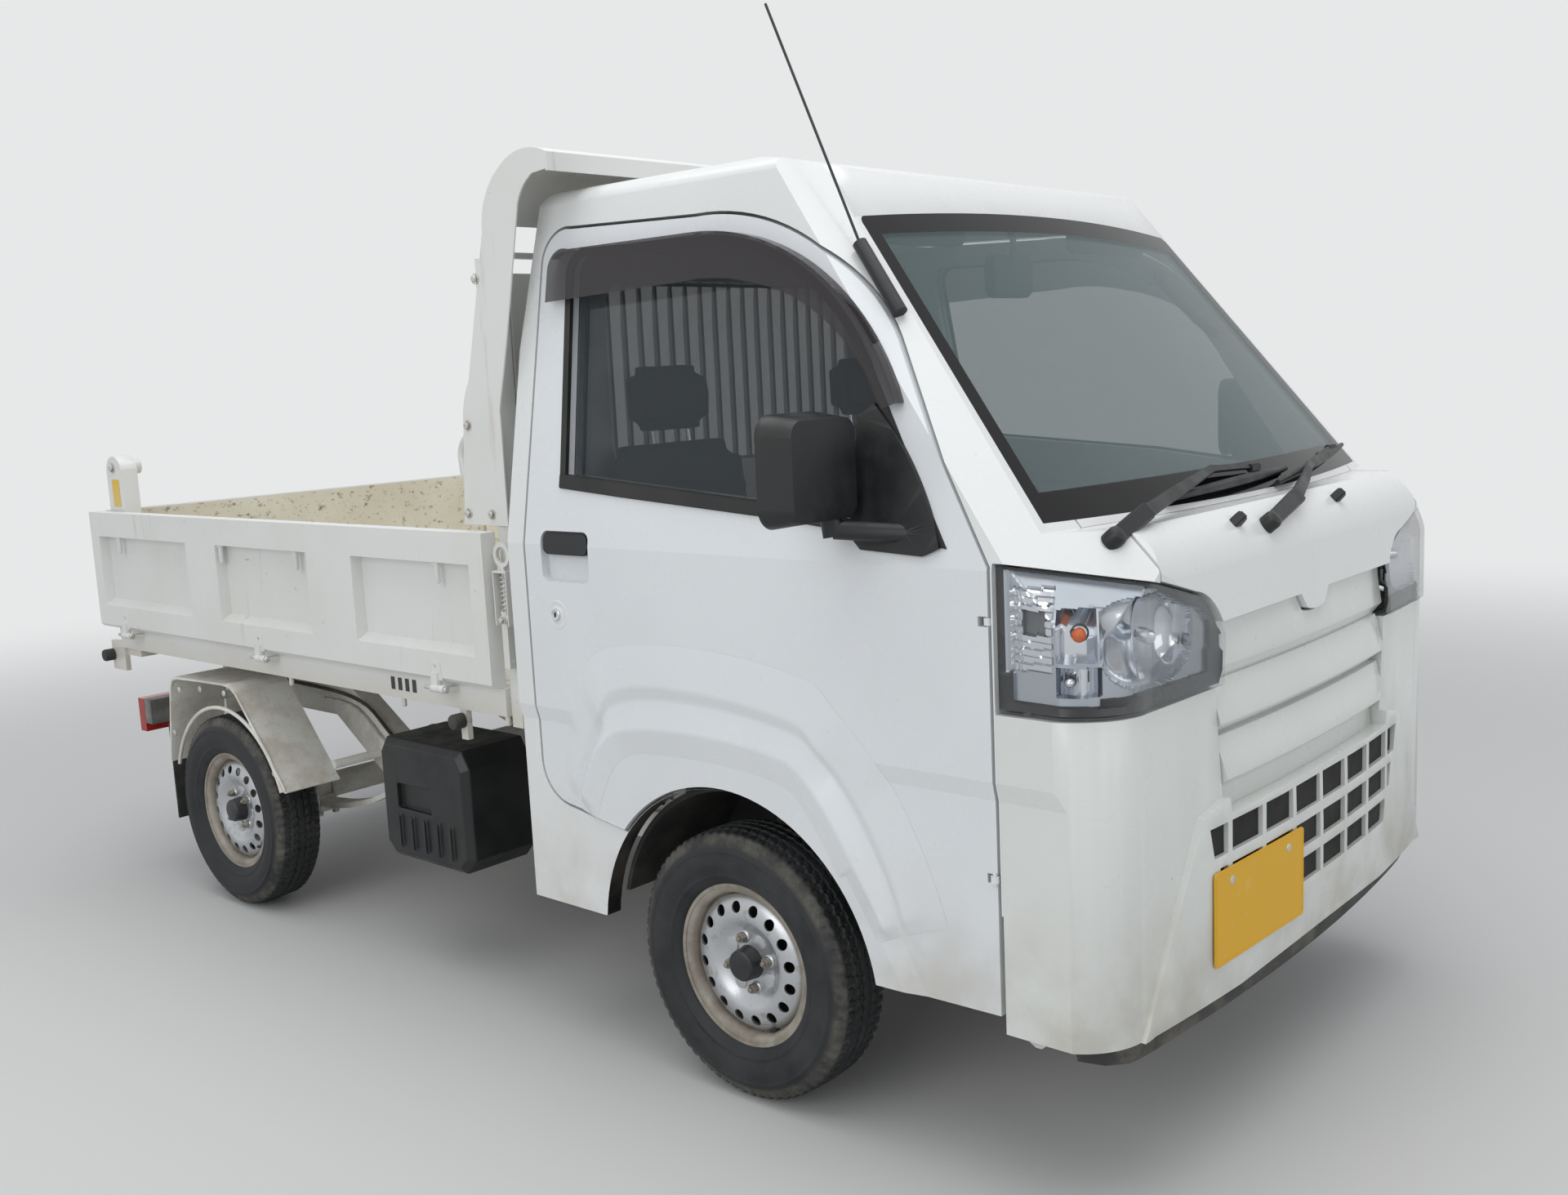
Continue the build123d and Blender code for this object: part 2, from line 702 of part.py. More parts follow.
with BuildPart() as front_bumper:
    add(nose_skin.part)
    add(
        prism_y(
            drawn(
                (-HALF_WIDTH - 5, SILL_Z - 5),
                [
                    ((-HALF_WIDTH - 5, 840),),
                    ((-385, 838),),
                    ((-388, 834),),
                    ((-360, GRILLE_LOW_Z),),
                    ((360, GRILLE_LOW_Z),),
                    ((388, 834),),
                    ((385, 838),),
                    ((HALF_WIDTH + 5, 840),),
                    ((HALF_WIDTH + 5, SILL_Z - 5),),
                ],
            ),
            FRONT_Y - 5,
            NOSE_SIDE_Y,
        ),
        mode=Mode.INTERSECT,
    )
    add(lamp_pocket, mode=Mode.SUBTRACT)
    add(corner_trim.part, mode=Mode.SUBTRACT)
    add(intake.part, mode=Mode.SUBTRACT)
write(front_bumper.part, "front_bumper")

# Headlamps: a clear cover that follows the nose, and a housing with its round reflector
with BuildPart() as lamp_core:
    add(prism_z(plan_outline(LAMP_LENS + 2), 800, 1100))
    add(
        prism_x(
            drawn(
                (-1400, 800),
                [
                    ((-1400, 1110),),
                    ((-1640, 1070),),
                    ((-1664, 1025),),
                    ((-1678, 905),),
                    ((-1684, 800),),
                ],
            ),
            -HALF_WIDTH + LAMP_LENS + 2,
            HALF_WIDTH - LAMP_LENS - 2,
        ),
        mode=Mode.INTERSECT,
    )
    add(pillar_cut(LAMP_LENS + 2), mode=Mode.SUBTRACT)
with BuildPart() as lens_side:
    add(cab_form.part)
    add(lamp_inner, mode=Mode.INTERSECT)
    add(lamp_core.part, mode=Mode.SUBTRACT)
REFLECTOR_X = -570
REFLECTOR_Z = 937
REFLECTOR_SIZE = (232, 148)
REFLECTOR_CORNER = 70
LAMP_DEPTH = 110
SIGNAL_CHAMBER = (-760, -702, -1760, -1560, 885, 1000)
with BuildPart() as bowl_side:
    add(lamp_core.part)
    add(lamp_inner, mode=Mode.INTERSECT)
    add(
        prism_z(
            drawn(
                (-HALF_WIDTH, FIREWALL_Y - 12),
                [((-380, FRONT_Y + LAMP_DEPTH + 30),), ((-380, FRONT_Y),), ((-HALF_WIDTH, FRONT_Y),)],
            ),
            800,
            1100,
        ),
        mode=Mode.INTERSECT,
    )
    with BuildSketch(Plane.XZ.offset(-FRONT_Y)):
        with Locations((REFLECTOR_X, REFLECTOR_Z)):
            RectangleRounded(*REFLECTOR_SIZE, REFLECTOR_CORNER)
    extrude(amount=-LAMP_DEPTH, taper=8, mode=Mode.SUBTRACT)
    add(block(*SIGNAL_CHAMBER), mode=Mode.SUBTRACT)
write(both(lens_side.part), "headlamp_lenses")
write(both(bowl_side.part), "headlamp_bowls")

# Doors, with the raised panel around the wheel arch, the handle's recess and the window's slot
FLARE_LOW = SILL_Z + 5
# columns: y and z of the raised panel's outer edge, y and z of its inner edge
FLARE_ROWS = [
    (-1335, FLARE_LOW, -1280, FLARE_LOW),
    (-1262, 440, -1212, 425),
    (-1160, 573, -1112, 552),
    (-1067, 713, -1025, 668),
    (-983, 762, -958, 706),
    (-822, 790, -822, 728),
    (-668, 780, -690, 720),
    (-543, 742, -588, 690),
    (-480, 635, -530, 610),
    (-444, 537, -498, 520),
    (-436, FLARE_LOW, -490, FLARE_LOW),
]
flare_outer = [(y, z) for y, z, _, _ in FLARE_ROWS]
flare_inner = [(y, z) for _, _, y, z in FLARE_ROWS]
with BuildPart() as arch_flare:
    with BuildSketch(Plane.YZ.offset(-HALF_WIDTH + CREASE_DEPTH + 2)):
        with BuildLine():
            Polyline(*flare_outer, close=True)
        make_face()
    with BuildSketch(Plane.YZ.offset(-HALF_WIDTH)):
        with BuildLine():
            Polyline(*flare_inner, close=True)
        make_face()
    loft(ruled=True)
HANDLE_Y = (-532, -390)
HANDLE_Z = (986, 1088)
HANDLE_DEPTH = 20
door_face = shrunk(door_edge, DOOR_GAP)
glass_face = shrunk(window_edge, -WINDOW_SLOT)
glass_band = side_band(-24 - DOOR_GLASS, -24, 1000, 1720, -1460, -300)
with BuildPart() as door_glass_side:
    add(glass_band)
    add(prism_of_face(glass_face, -HALF_WIDTH - 10, -400), mode=Mode.INTERSECT)
with BuildPart() as door_side:
    add(cab_form.part)
    add(arch_flare.part)
    add(side_band(-WALL, 5, SILL_Z, 1770, NOSE_SIDE_Y, CAB_REAR_Y), mode=Mode.INTERSECT)
    add(prism_of_face(door_face, -HALF_WIDTH - 10, -400), mode=Mode.INTERSECT)
    add(window_opening, mode=Mode.SUBTRACT)
    add(door_glass_side.part, mode=Mode.SUBTRACT)
    with BuildSketch(Plane.YZ.offset(-HALF_WIDTH - 5)):
        with Locations(((HANDLE_Y[0] + HANDLE_Y[1]) / 2, (HANDLE_Z[0] + HANDLE_Z[1]) / 2)):
            RectangleRounded(HANDLE_Y[1] - HANDLE_Y[0], HANDLE_Z[1] - HANDLE_Z[0], 18)
    extrude(amount=HANDLE_DEPTH + 5, mode=Mode.SUBTRACT)
    for hinge_z in HINGE_HEIGHTS:
        low = hinge_z - NOTCH_HALF
        high = hinge_z + NOTCH_HALF
        notch = block(-HALF_WIDTH - 5, -FIREWALL_HALF + 5, DOOR_FRONT_Y, HINGE_AXIS[1] + 15, low, high)
        add(notch, mode=Mode.SUBTRACT)
        add(rod((*HINGE_AXIS, low - 4), (*HINGE_AXIS, high + 4), DOOR_PIN))

visor_edge = drawn(
    (-384, 1540),
    [
        ((-384, 1606),),
        ((-400, 1634), (-440, 1640)),
        ((-790, 1640),),
        ((-1068, 1560), (-1268, 1345)),
        ((-1278, 1322),),
        ((-1250, 1312),),
        ((-1092, 1480), (-950, 1536)),
        ((-860, 1552), (-760, 1552)),
    ],
)
visor_outer = prism_x(visor_edge, -HALF_WIDTH - 40, -400)
with BuildPart() as visor_hollow:
    add(side_band(-1, VISOR_STAND_OFF - VISOR_WALL, 1250, 1720, -1460, -300))
    add(Pos(0, VISOR_WALL + 1, -VISOR_WALL - 2) * visor_outer, mode=Mode.INTERSECT)
with BuildPart() as visor_side:
    add(side_band(0, VISOR_STAND_OFF, 1250, 1720, -1460, -300))
    add(visor_outer, mode=Mode.INTERSECT)
    add(visor_hollow.part, mode=Mode.SUBTRACT)

# Mirror: its patch on the window's front corner, its arm and its head
sail_edge = drawn(
    (-1190, 1106),
    [
        ((-1190, 1300),),
        ((-1222, 1322),),
        ((-1352, 1142), (-1372, 1092)),
        ((-1340, 1078),),
        ((-1215, 1084),),
    ],
)
MIRROR_X = (-917, -737)
MIRROR_Z = (1130, 1314)
MIRROR_Y = (-1218, -1150)
with BuildPart() as mirror_side:
    add(side_band(0, 9, 1060, 1400, -1400, -1150))
    add(prism_x(sail_edge, -HALF_WIDTH - 20, -400), mode=Mode.INTERSECT)
    with BuildSketch(Plane.XZ.offset(-MIRROR_Y[1])):
        with Locations((sum(MIRROR_X) / 2, sum(MIRROR_Z) / 2)):
            RectangleRounded(MIRROR_X[1] - MIRROR_X[0], MIRROR_Z[1] - MIRROR_Z[0], 36)
    extrude(amount=MIRROR_Y[1] - MIRROR_Y[0], taper=9)
    add(rod((-722, -1300, 1112), (-790, -1200, 1122), 16))
    add(rod((-790, -1200, 1110), (-790, -1192, 1160), 18))
    add(door_side.part, mode=Mode.SUBTRACT)

for side in ("right", "left"):
    for name, piece in (
        ("door", door_side),
        ("door_glass", door_glass_side),
        ("door_visor", visor_side),
        ("mirror", mirror_side),
    ):
        with BuildPart() as handed:
            if side == "right":
                add(piece.part)
            else:
                add(piece.part)
                mirror(about=Plane.YZ, mode=Mode.REPLACE)
        write(handed.part, f"{name}_{side}")


def screen_point(x, z, lift):
    """A point over the windscreen's face."""
    bow = SCREEN_BOW_RADIUS - sqrt(SCREEN_BOW_RADIUS**2 - x**2)
    run = (z - SCREEN_BASE_Z) / (SCREEN_TOP_Z - SCREEN_BASE_Z)
    return (x, SCREEN_BASE_Y + bow + run * (SCREEN_TOP_Y - SCREEN_BASE_Y) - lift, z + lift * 0.75)


# columns: pivot x, elbow x and z, blade start x and z, blade end x and z
WIPERS = [
    (-497, -280, 1132, -300, 1124, 170, 1144),
    (-33, 250, 1132, 215, 1124, 606, 1152),
]
with BuildPart() as wipers:
    for pivot_x, elbow_x, elbow_z, start_x, start_z, end_x, end_z in WIPERS:
        foot = (pivot_x, SCREEN_BASE_Y - 20, SCREEN_BASE_Z)
        add(rod(foot, (pivot_x, SCREEN_BASE_Y - 20, SCREEN_BASE_Z + 22), 15))
        add(rod((pivot_x, SCREEN_BASE_Y - 20, SCREEN_BASE_Z + 14), screen_point(elbow_x, elbow_z, 20), 6))
        add(rod(screen_point(elbow_x, elbow_z, 20), screen_point(elbow_x + 10, elbow_z - 4, 8), 5))
        add(rod(screen_point(start_x, start_z, 10), screen_point(end_x, end_z, 10), 7))
write(wipers.part, "wipers")

AERIAL_FOOT = (-628, -1230, 1468)
AERIAL_HEAD = (-610, -1136, 1590)
AERIAL_TIP = (-600, -940, 2017)
with BuildPart() as aerial:
    add(rod(AERIAL_FOOT, AERIAL_HEAD, 13))
    add(rod(AERIAL_HEAD, AERIAL_TIP, 2.5))
    add(cab_form.part, mode=Mode.SUBTRACT)
write(aerial.part, "aerial")

PLATE_SIZE = (330, 165)
PLATE_THICKNESS = 3
PLATE_X = -262
PLATE_Z = 440
plate_sag = nose_radius - sqrt(nose_radius**2 - PLATE_X**2)
plate_point = (PLATE_X, FRONT_Y + plate_sag, PLATE_Z)
plate_way = Vector(nose_radius - plate_sag, PLATE_X, 0).normalized()
with BuildPart() as number_plates:
    with BuildSketch(Plane(origin=plate_point, x_dir=plate_way, z_dir=plate_way.cross(Vector(0, 0, 1)))):
        RectangleRounded(*PLATE_SIZE, 8)
    extrude(amount=PLATE_THICKNESS)
write(number_plates.part, "number_plates")

# Cabin floor with wheel houses
FLOOR_HALF = 684
FLOOR_SHEET = 20
HOUSE_RADIUS = 345
HOUSE_WALL = 10
HOUSE_INNER_X = 405
SEAT_DECK_Z = 660
SEAT_RISER_Y = -890
floor_edge = drawn(
    (FIREWALL_Y + FIREWALL_WALL, 455),
    [
        ((FIREWALL_Y + FIREWALL_WALL, 475),),
        ((SEAT_RISER_Y - FLOOR_SHEET, 475),),
        ((SEAT_RISER_Y - FLOOR_SHEET, SEAT_DECK_Z),),
        ((CAB_REAR_Y - WALL, SEAT_DECK_Z),),
        ((CAB_REAR_Y - WALL, SEAT_DECK_Z - FLOOR_SHEET),),
        ((SEAT_RISER_Y, SEAT_DECK_Z - FLOOR_SHEET),),
        ((SEAT_RISER_Y, 455),),
    ],
)
house_centre = (FRONT_AXLE_Y, WHEEL_CENTRE_Z)


def house_drum(radius, x_low, x_high):
    """A disc or drum about the front axle on the driver's side."""
    return rod((x_low, *house_centre), (x_high, *house_centre), radius)


with BuildPart() as wheel_house:
    add(house_drum(HOUSE_RADIUS, -FLOOR_HALF, -HOUSE_INNER_X))
    inside_house = house_drum(HOUSE_RADIUS - HOUSE_WALL, -FLOOR_HALF - 5, -HOUSE_INNER_X - HOUSE_WALL)
    add(inside_house, mode=Mode.SUBTRACT)
    add(block(-720, -380, -1300, -400, -120, 345), mode=Mode.SUBTRACT)
house_space = house_drum(HOUSE_RADIUS, -720, -HOUSE_INNER_X)
with BuildPart() as floor_pan:
    add(prism_x(floor_edge, -FLOOR_HALF, FLOOR_HALF))
    add(both(house_space), mode=Mode.SUBTRACT)
    add(both(wheel_house.part))
write(floor_pan.part, "floor_pan")

dash_edge = drawn(
    (FIREWALL_Y + FIREWALL_WALL, 1074),
    [
        ((-1380, 1086), (-1300, 1068)),
        ((-1268, 1050), (-1262, 1010)),
        ((-1290, 850),),
        ((-1400, 800),),
        ((FIREWALL_Y + FIREWALL_WALL, 790),),
    ],
)
DASH_HALF = 668
WHEEL_HUB = (-340, -1120, 1035)
WHEEL_TILT = (0, 0.62, 0.785)
STEER_WHEEL_RADIUS = 182


def along_column(distance):
    """A point on the steering column's axis, measured from the wheel's hub towards the driver."""
    return tuple(hub + distance * step for hub, step in zip(WHEEL_HUB, WHEEL_TILT))


with BuildPart() as dashboard:
    add(prism_x(dash_edge, -DASH_HALF, DASH_HALF))
    add(rod(along_column(-290), along_column(-42), 36))
    add(rod(along_column(-50), along_column(-34.5), 12))
write(dashboard.part, "dashboard")

column_plane = Plane(origin=WHEEL_HUB, x_dir=(1, 0, 0), z_dir=WHEEL_TILT)
across_column = Vector(1, 0, 0).cross(Vector(*WHEEL_TILT))
with BuildPart() as steering_wheel:
    with BuildSketch(Plane(origin=WHEEL_HUB, x_dir=(1, 0, 0), z_dir=across_column)):
        with Locations((STEER_WHEEL_RADIUS, 0)):
            Circle(13)
    revolve(axis=Axis(WHEEL_HUB, WHEEL_TILT))
    with BuildSketch(column_plane.offset(-34)):
        Circle(52)
    extrude(amount=30, taper=8)
    with BuildSketch(column_plane.offset(-16)):
        Rectangle(2 * STEER_WHEEL_RADIUS, 30)
        with Locations((0, -STEER_WHEEL_RADIUS / 2)):
            Rectangle(34, STEER_WHEEL_RADIUS)
    extrude(amount=12)
write(steering_wheel.part, "steering_wheel")

SEAT_X = 345
SEAT_WIDTH = 470
seat_edge = drawn(
    (-870, SEAT_DECK_Z),
    [
        ((-895, 740), (-850, 792)),
        ((-520, 772),),
        ((-455, 1120), (-410, 1400)),
        ((-370, 1425), (-345, 1395)),
        ((-355, 1100), (-380, SEAT_DECK_Z)),
    ],
)
with BuildPart() as seats:
    with BuildSketch(Plane.YZ.offset(SEAT_X - SEAT_WIDTH / 2)):
        add(seat_edge)
        make_face()
    extrude(amount=SEAT_WIDTH)
    mirror(about=Plane.YZ)
write(seats.part, "seats")

# Chassis frame: two rails that kick up over the rear axle, with cross bars and the bed's hinge ears
RAIL_INNER = 338
RAIL_OUTER = 398
FRAME_FRONT_Y = -1620
FRAME_REAR_Y = BED_REAR_Y + 2
RAIL_LOW = (335, 440)
RAIL_HIGH = (480, 575)
rail_edge = drawn(
    (FRAME_FRONT_Y, RAIL_LOW[0]),
    [
        ((FRAME_FRONT_Y, RAIL_LOW[1]),),
        ((REAR_AXLE_Y - 353, RAIL_LOW[1]),),
        ((REAR_AXLE_Y - 138, RAIL_HIGH[1]),),
        ((FRAME_REAR_Y, RAIL_HIGH[1]),),
        ((FRAME_REAR_Y, RAIL_HIGH[0]),),
        ((REAR_AXLE_Y - 68, RAIL_HIGH[0]),),
        ((REAR_AXLE_Y - 283, RAIL_LOW[0]),),
    ],
)
# columns: y low, y high, z low, z high
CROSS_BARS = [
    (FRAME_FRONT_Y, FRAME_FRONT_Y + 60, 350, 430),
    (-1250, -1190, 350, 430),
    (180, 240, 366, 430),
    (REAR_AXLE_Y - 423, REAR_AXLE_Y - 373, 345, 400),
    (REAR_AXLE_Y + 287, REAR_AXLE_Y + 347, 490, 560),
    (FRAME_REAR_Y - 60, FRAME_REAR_Y, 490, 560),
]
HOIST_BASE = (0, 250, 470)
HOIST_EYE = (0, 1090, 622)
EYE_RADIUS = 26
EYE_BORE = 11
PIN_CLEARANCE = 0.5
FORK_GAP = 22
FORK_WALL = 10
HINGE_EAR_RADIUS = 30
HINGE_PIN = 14
# columns: y and z of the fender stays that stand out from each rail
FENDER_STAYS = [(REAR_AXLE_Y - 267, 395), (REAR_AXLE_Y + 302, 525)]
# columns: x low, x high, y low, y high, z low, z high of what each rail carries on the driver's side
RAIL_BRACKETS = [
    (-RAIL_OUTER - 32, -RAIL_OUTER, BED_HINGE_Y - 30, BED_HINGE_Y + 30, 500, BED_HINGE_Z),
    (-FORK_GAP - FORK_WALL, -FORK_GAP, 222, 280, 425, 498),
    (-FORK_GAP - FORK_WALL, 0, 200, 226, 425, 440),
    (-400, 0, -1100, -1060, RAIL_LOW[1], 455),
    (-400, 0, -420, -380, RAIL_LOW[1], SEAT_DECK_Z - FLOOR_SHEET),
]
# columns: x low, x high and radius of the bed hinge's ear and of its pin
HINGE_ROUNDS = [
    (-RAIL_OUTER - 32, -RAIL_OUTER - 4, HINGE_EAR_RADIUS),
    (-RAIL_OUTER - 10, -RAIL_INNER + 6, HINGE_PIN),
]
TOW_X = (-RAIL_OUTER, -RAIL_OUTER + 12)
TOW_Y = -1590
TOW_Z = 284
TOW_EYE_RADIUS = 26
TOW_BORE_RADIUS = 12
with BuildPart() as rail_side:
    add(prism_x(rail_edge, -RAIL_OUTER, -RAIL_INNER))
    for stay_y, stay_z in FENDER_STAYS:
        add(rod((-RAIL_OUTER, stay_y, stay_z), (-545, stay_y, stay_z), 12))
    for limits in RAIL_BRACKETS:
        add(block(*limits))
    for x_low, x_high, radius in HINGE_ROUNDS:
        add(rod((x_low, BED_HINGE_Y, BED_HINGE_Z), (x_high, BED_HINGE_Y, BED_HINGE_Z), radius))
    add(rod((-FORK_GAP - FORK_WALL, *HOIST_BASE[1:]), HOIST_BASE, EYE_BORE - PIN_CLEARANCE))
    add(block(*TOW_X, TOW_Y - TOW_EYE_RADIUS, TOW_Y + TOW_EYE_RADIUS, TOW_Z, RAIL_LOW[0]))
    add(rod((TOW_X[0], TOW_Y, TOW_Z), (TOW_X[1], TOW_Y, TOW_Z), TOW_EYE_RADIUS))
    add(rod((TOW_X[0] - 5, TOW_Y, TOW_Z), (TOW_X[1] + 5, TOW_Y, TOW_Z), TOW_BORE_RADIUS), mode=Mode.SUBTRACT)
with BuildPart() as bumper_pad:
    add(block(-RAIL_OUTER, -RAIL_INNER, FRONT_Y, FRAME_FRONT_Y + 5, 350, 430))
    add(nose_core.part, mode=Mode.INTERSECT)
with BuildPart() as frame:
    add(rail_side.part)
    add(bumper_pad.part)
    mirror(about=Plane.YZ)
    for y_low, y_high, z_low, z_high in CROSS_BARS:
        add(block(-RAIL_INNER, RAIL_INNER, y_low, y_high, z_low, z_high))
write(frame.part, "frame")

with BuildPart() as powertrain:
    add(block(-180, 180, -790, -440, 290, 600))
    add(block(-110, 110, -440, 60, 270, 430))
    add(rod((0, 60, 330), (0, REAR_AXLE_Y - 100.5, WHEEL_CENTRE_Z), 28))
    add(rod((-RAIL_INNER, -600, 400), (RAIL_INNER, -600, 400), 22))
write(powertrain.part, "powertrain")

# Front suspension: lower arms with their pivot pins, and the steering rack's tube
KINGPIN_X = 590
KNUCKLE_LOW_Z = 196
arm_edge = drawn(
    (-KINGPIN_X, FRONT_AXLE_Y - 18),
    [
        ((-KINGPIN_X - 18, FRONT_AXLE_Y), (-KINGPIN_X, FRONT_AXLE_Y + 18)),
        ((-420, FRONT_AXLE_Y + 40),),
        ((-330, FRONT_AXLE_Y + 90),),
        ((-330, FRONT_AXLE_Y - 60),),
    ],
)
with BuildPart() as front_suspension:
    add(prism_z(arm_edge, 168, 188))
    add(rod((-KINGPIN_X, FRONT_AXLE_Y, 186), (-KINGPIN_X, FRONT_AXLE_Y, KNUCKLE_LOW_Z - PIN_CLEARANCE), 16))
    add(block(-390, -330, FRONT_AXLE_Y - 60, FRONT_AXLE_Y + 90, 168, RAIL_LOW[0]))
    mirror(about=Plane.YZ)
    add(rod((-372, FRONT_AXLE_Y + 60, 225), (372, FRONT_AXLE_Y + 60, 225), 24))
write(front_suspension.part, "front_suspension")

# Wheels. A lathe profile (distance out from the wheel's middle plane, radius) for tyre and rim
TREAD_HALF = 52
SIDE_HALF = TYRE_WIDTH / 2
BEAD_HALF = 51
tyre_profile = [
    (-BEAD_HALF, RIM_SEAT_RADIUS),
    (-BEAD_HALF, BEAD_RADIUS),
    (-SIDE_HALF, 205),
    (-SIDE_HALF + 4, 238),
    (-TREAD_HALF, TYRE_RADIUS - 1),
    (TREAD_HALF, TYRE_RADIUS - 1),
    (SIDE_HALF - 4, 238),
    (SIDE_HALF, 205),
    (BEAD_HALF, BEAD_RADIUS),
    (BEAD_HALF, RIM_SEAT_RADIUS),
]
HUB_FACE = 22
RIM_HOLES = 14
RIM_HOLE_RADIUS = 9
RIM_HOLE_PITCH = 112
CAP_RADIUS = 29
rim_profile = [
    (-BEAD_HALF - 4, BEAD_RADIUS),
    (-BEAD_HALF, BEAD_RADIUS),
    (-BEAD_HALF, RIM_SEAT_RADIUS),
    (BEAD_HALF, RIM_SEAT_RADIUS),
    (BEAD_HALF, BEAD_RADIUS),
    (BEAD_HALF + 4, BEAD_RADIUS),
    (BEAD_HALF - 2, 141),
    (28, 137),
    (40, 116),
    (42, 92),
    (HUB_FACE + 5, 66),
    (HUB_FACE + 5, CAP_RADIUS),
    (54, CAP_RADIUS - 4),
    (54, 0),
    (HUB_FACE, 0),
    (HUB_FACE, 64),
    (36, 92),
    (34, 114),
    (22, 132),
    (-BEAD_HALF + 2, 141),
]
DRUM_RADIUS = 108


def wheel_lathe(profile, centre, side):
    """A body of revolution about a wheel's axle: side is -1 on the driver's side."""
    with BuildPart() as body:
        with BuildSketch(Plane(origin=centre, x_dir=(side, 0, 0), z_dir=(0, -side, 0))):
            with BuildLine():
                Polyline(*profile, close=True)
            make_face()
        revolve(axis=Axis(centre, (1, 0, 0)))
    return body.part


# columns: name, side, axle y, track
WHEELS = [
    ("front_right", -1, FRONT_AXLE_Y, FRONT_TRACK),
    ("front_left", 1, FRONT_AXLE_Y, FRONT_TRACK),
    ("rear_right", -1, REAR_AXLE_Y, REAR_TRACK),
    ("rear_left", 1, REAR_AXLE_Y, REAR_TRACK),
]
for name, side, axle_y, track in WHEELS:
    centre = (side * track / 2, axle_y, WHEEL_CENTRE_Z)
    write(wheel_lathe(tyre_profile, centre, side), f"tyre_{name}")
    with BuildPart() as rim:
        add(wheel_lathe(rim_profile, centre, side))
        with BuildSketch(Plane(origin=centre, x_dir=(0, 1, 0), z_dir=(side, 0, 0))):
            with PolarLocations(RIM_HOLE_PITCH, RIM_HOLES):
                Circle(RIM_HOLE_RADIUS)
        extrude(amount=60, mode=Mode.SUBTRACT)
    write(rim.part, f"rim_{name}")

# Knuckles: hub, brake disc, upright and strut of each front wheel
STRUT_TOP_Z = 588
STRUT_X = 522
knuckle_plane_x = -FRONT_TRACK / 2
with BuildPart() as knuckle_side:
    hub_y = FRONT_AXLE_Y
    add(rod((-560, hub_y, WHEEL_CENTRE_Z), (knuckle_plane_x - HUB_FACE + 0.5, hub_y, WHEEL_CENTRE_Z), 40))
    add(rod((-626, hub_y, WHEEL_CENTRE_Z), (-614, hub_y, WHEEL_CENTRE_Z), 112))
    add(block(-KINGPIN_X - 26, -552, hub_y - 28, hub_y + 28, KNUCKLE_LOW_Z, 330))
    add(block(-560, -505, hub_y - 20, hub_y + 20, 280, 350))
    add(rod((-STRUT_X, hub_y, 282), (-STRUT_X, hub_y, STRUT_TOP_Z), 20))
    add(rod((-STRUT_X, hub_y, 440), (-STRUT_X, hub_y, STRUT_TOP_Z - 8), 42))
write(knuckle_side.part, "knuckle_right")
with BuildPart() as knuckle_left:
    add(knuckle_side.part)
    mirror(about=Plane.YZ, mode=Mode.REPLACE)
write(knuckle_left.part, "knuckle_left")

# Rear axle on its leaf springs
SPRING_X = 440
SPRING_WIDTH = 50
SPRING_REACH = 440
AXLE_RADIUS = 36
axle_end = REAR_TRACK / 2 + HUB_FACE - 0.5
spring_edge = drawn(
    (REAR_AXLE_Y - SPRING_REACH, 346),
    [
        ((REAR_AXLE_Y, 240), (REAR_AXLE_Y + SPRING_REACH, 362)),
        ((REAR_AXLE_Y + SPRING_REACH, 350),),
        ((REAR_AXLE_Y, 224), (REAR_AXLE_Y - SPRING_REACH, 334)),
    ],
)
# columns: y and z span of the hangers that tie each spring to its rail
SPRING_HANGERS = [(REAR_AXLE_Y - SPRING_REACH - 8, 330, 410), (REAR_AXLE_Y + SPRING_REACH - 8, 345, 500)]
with BuildPart() as spring_side:
    add(prism_x(spring_edge, -SPRING_X - SPRING_WIDTH / 2, -SPRING_X + SPRING_WIDTH / 2))
    for hanger_y, z_low, z_high in SPRING_HANGERS:
        add(block(-SPRING_X - SPRING_WIDTH / 2, -RAIL_OUTER, hanger_y, hanger_y + 16, z_low, z_high))
    add(block(-SPRING_X - 30, -SPRING_X + 30, REAR_AXLE_Y - 45, REAR_AXLE_Y + 45, 205, 250))
    add(rod((-660, REAR_AXLE_Y, WHEEL_CENTRE_Z), (-596, REAR_AXLE_Y, WHEEL_CENTRE_Z), DRUM_RADIUS))
with BuildPart() as rear_axle:
    add(rod((-axle_end, REAR_AXLE_Y, WHEEL_CENTRE_Z), (axle_end, REAR_AXLE_Y, WHEEL_CENTRE_Z), AXLE_RADIUS))
    with BuildSketch(Plane.YZ.offset(-70)):
        with Locations((REAR_AXLE_Y, WHEEL_CENTRE_Z)):
            Circle(60)
    with BuildSketch(Plane.YZ.offset(-20)):
        with Locations((REAR_AXLE_Y, WHEEL_CENTRE_Z)):
            Circle(100)
    loft()
    with BuildSketch(Plane.YZ.offset(-20)):
        with Locations((REAR_AXLE_Y, WHEEL_CENTRE_Z)):
            Circle(100)
    extrude(amount=70, taper=12)
    add(spring_side.part)
    add(mirror(spring_side.part, about=Plane.YZ))
write(rear_axle.part, "rear_axle")

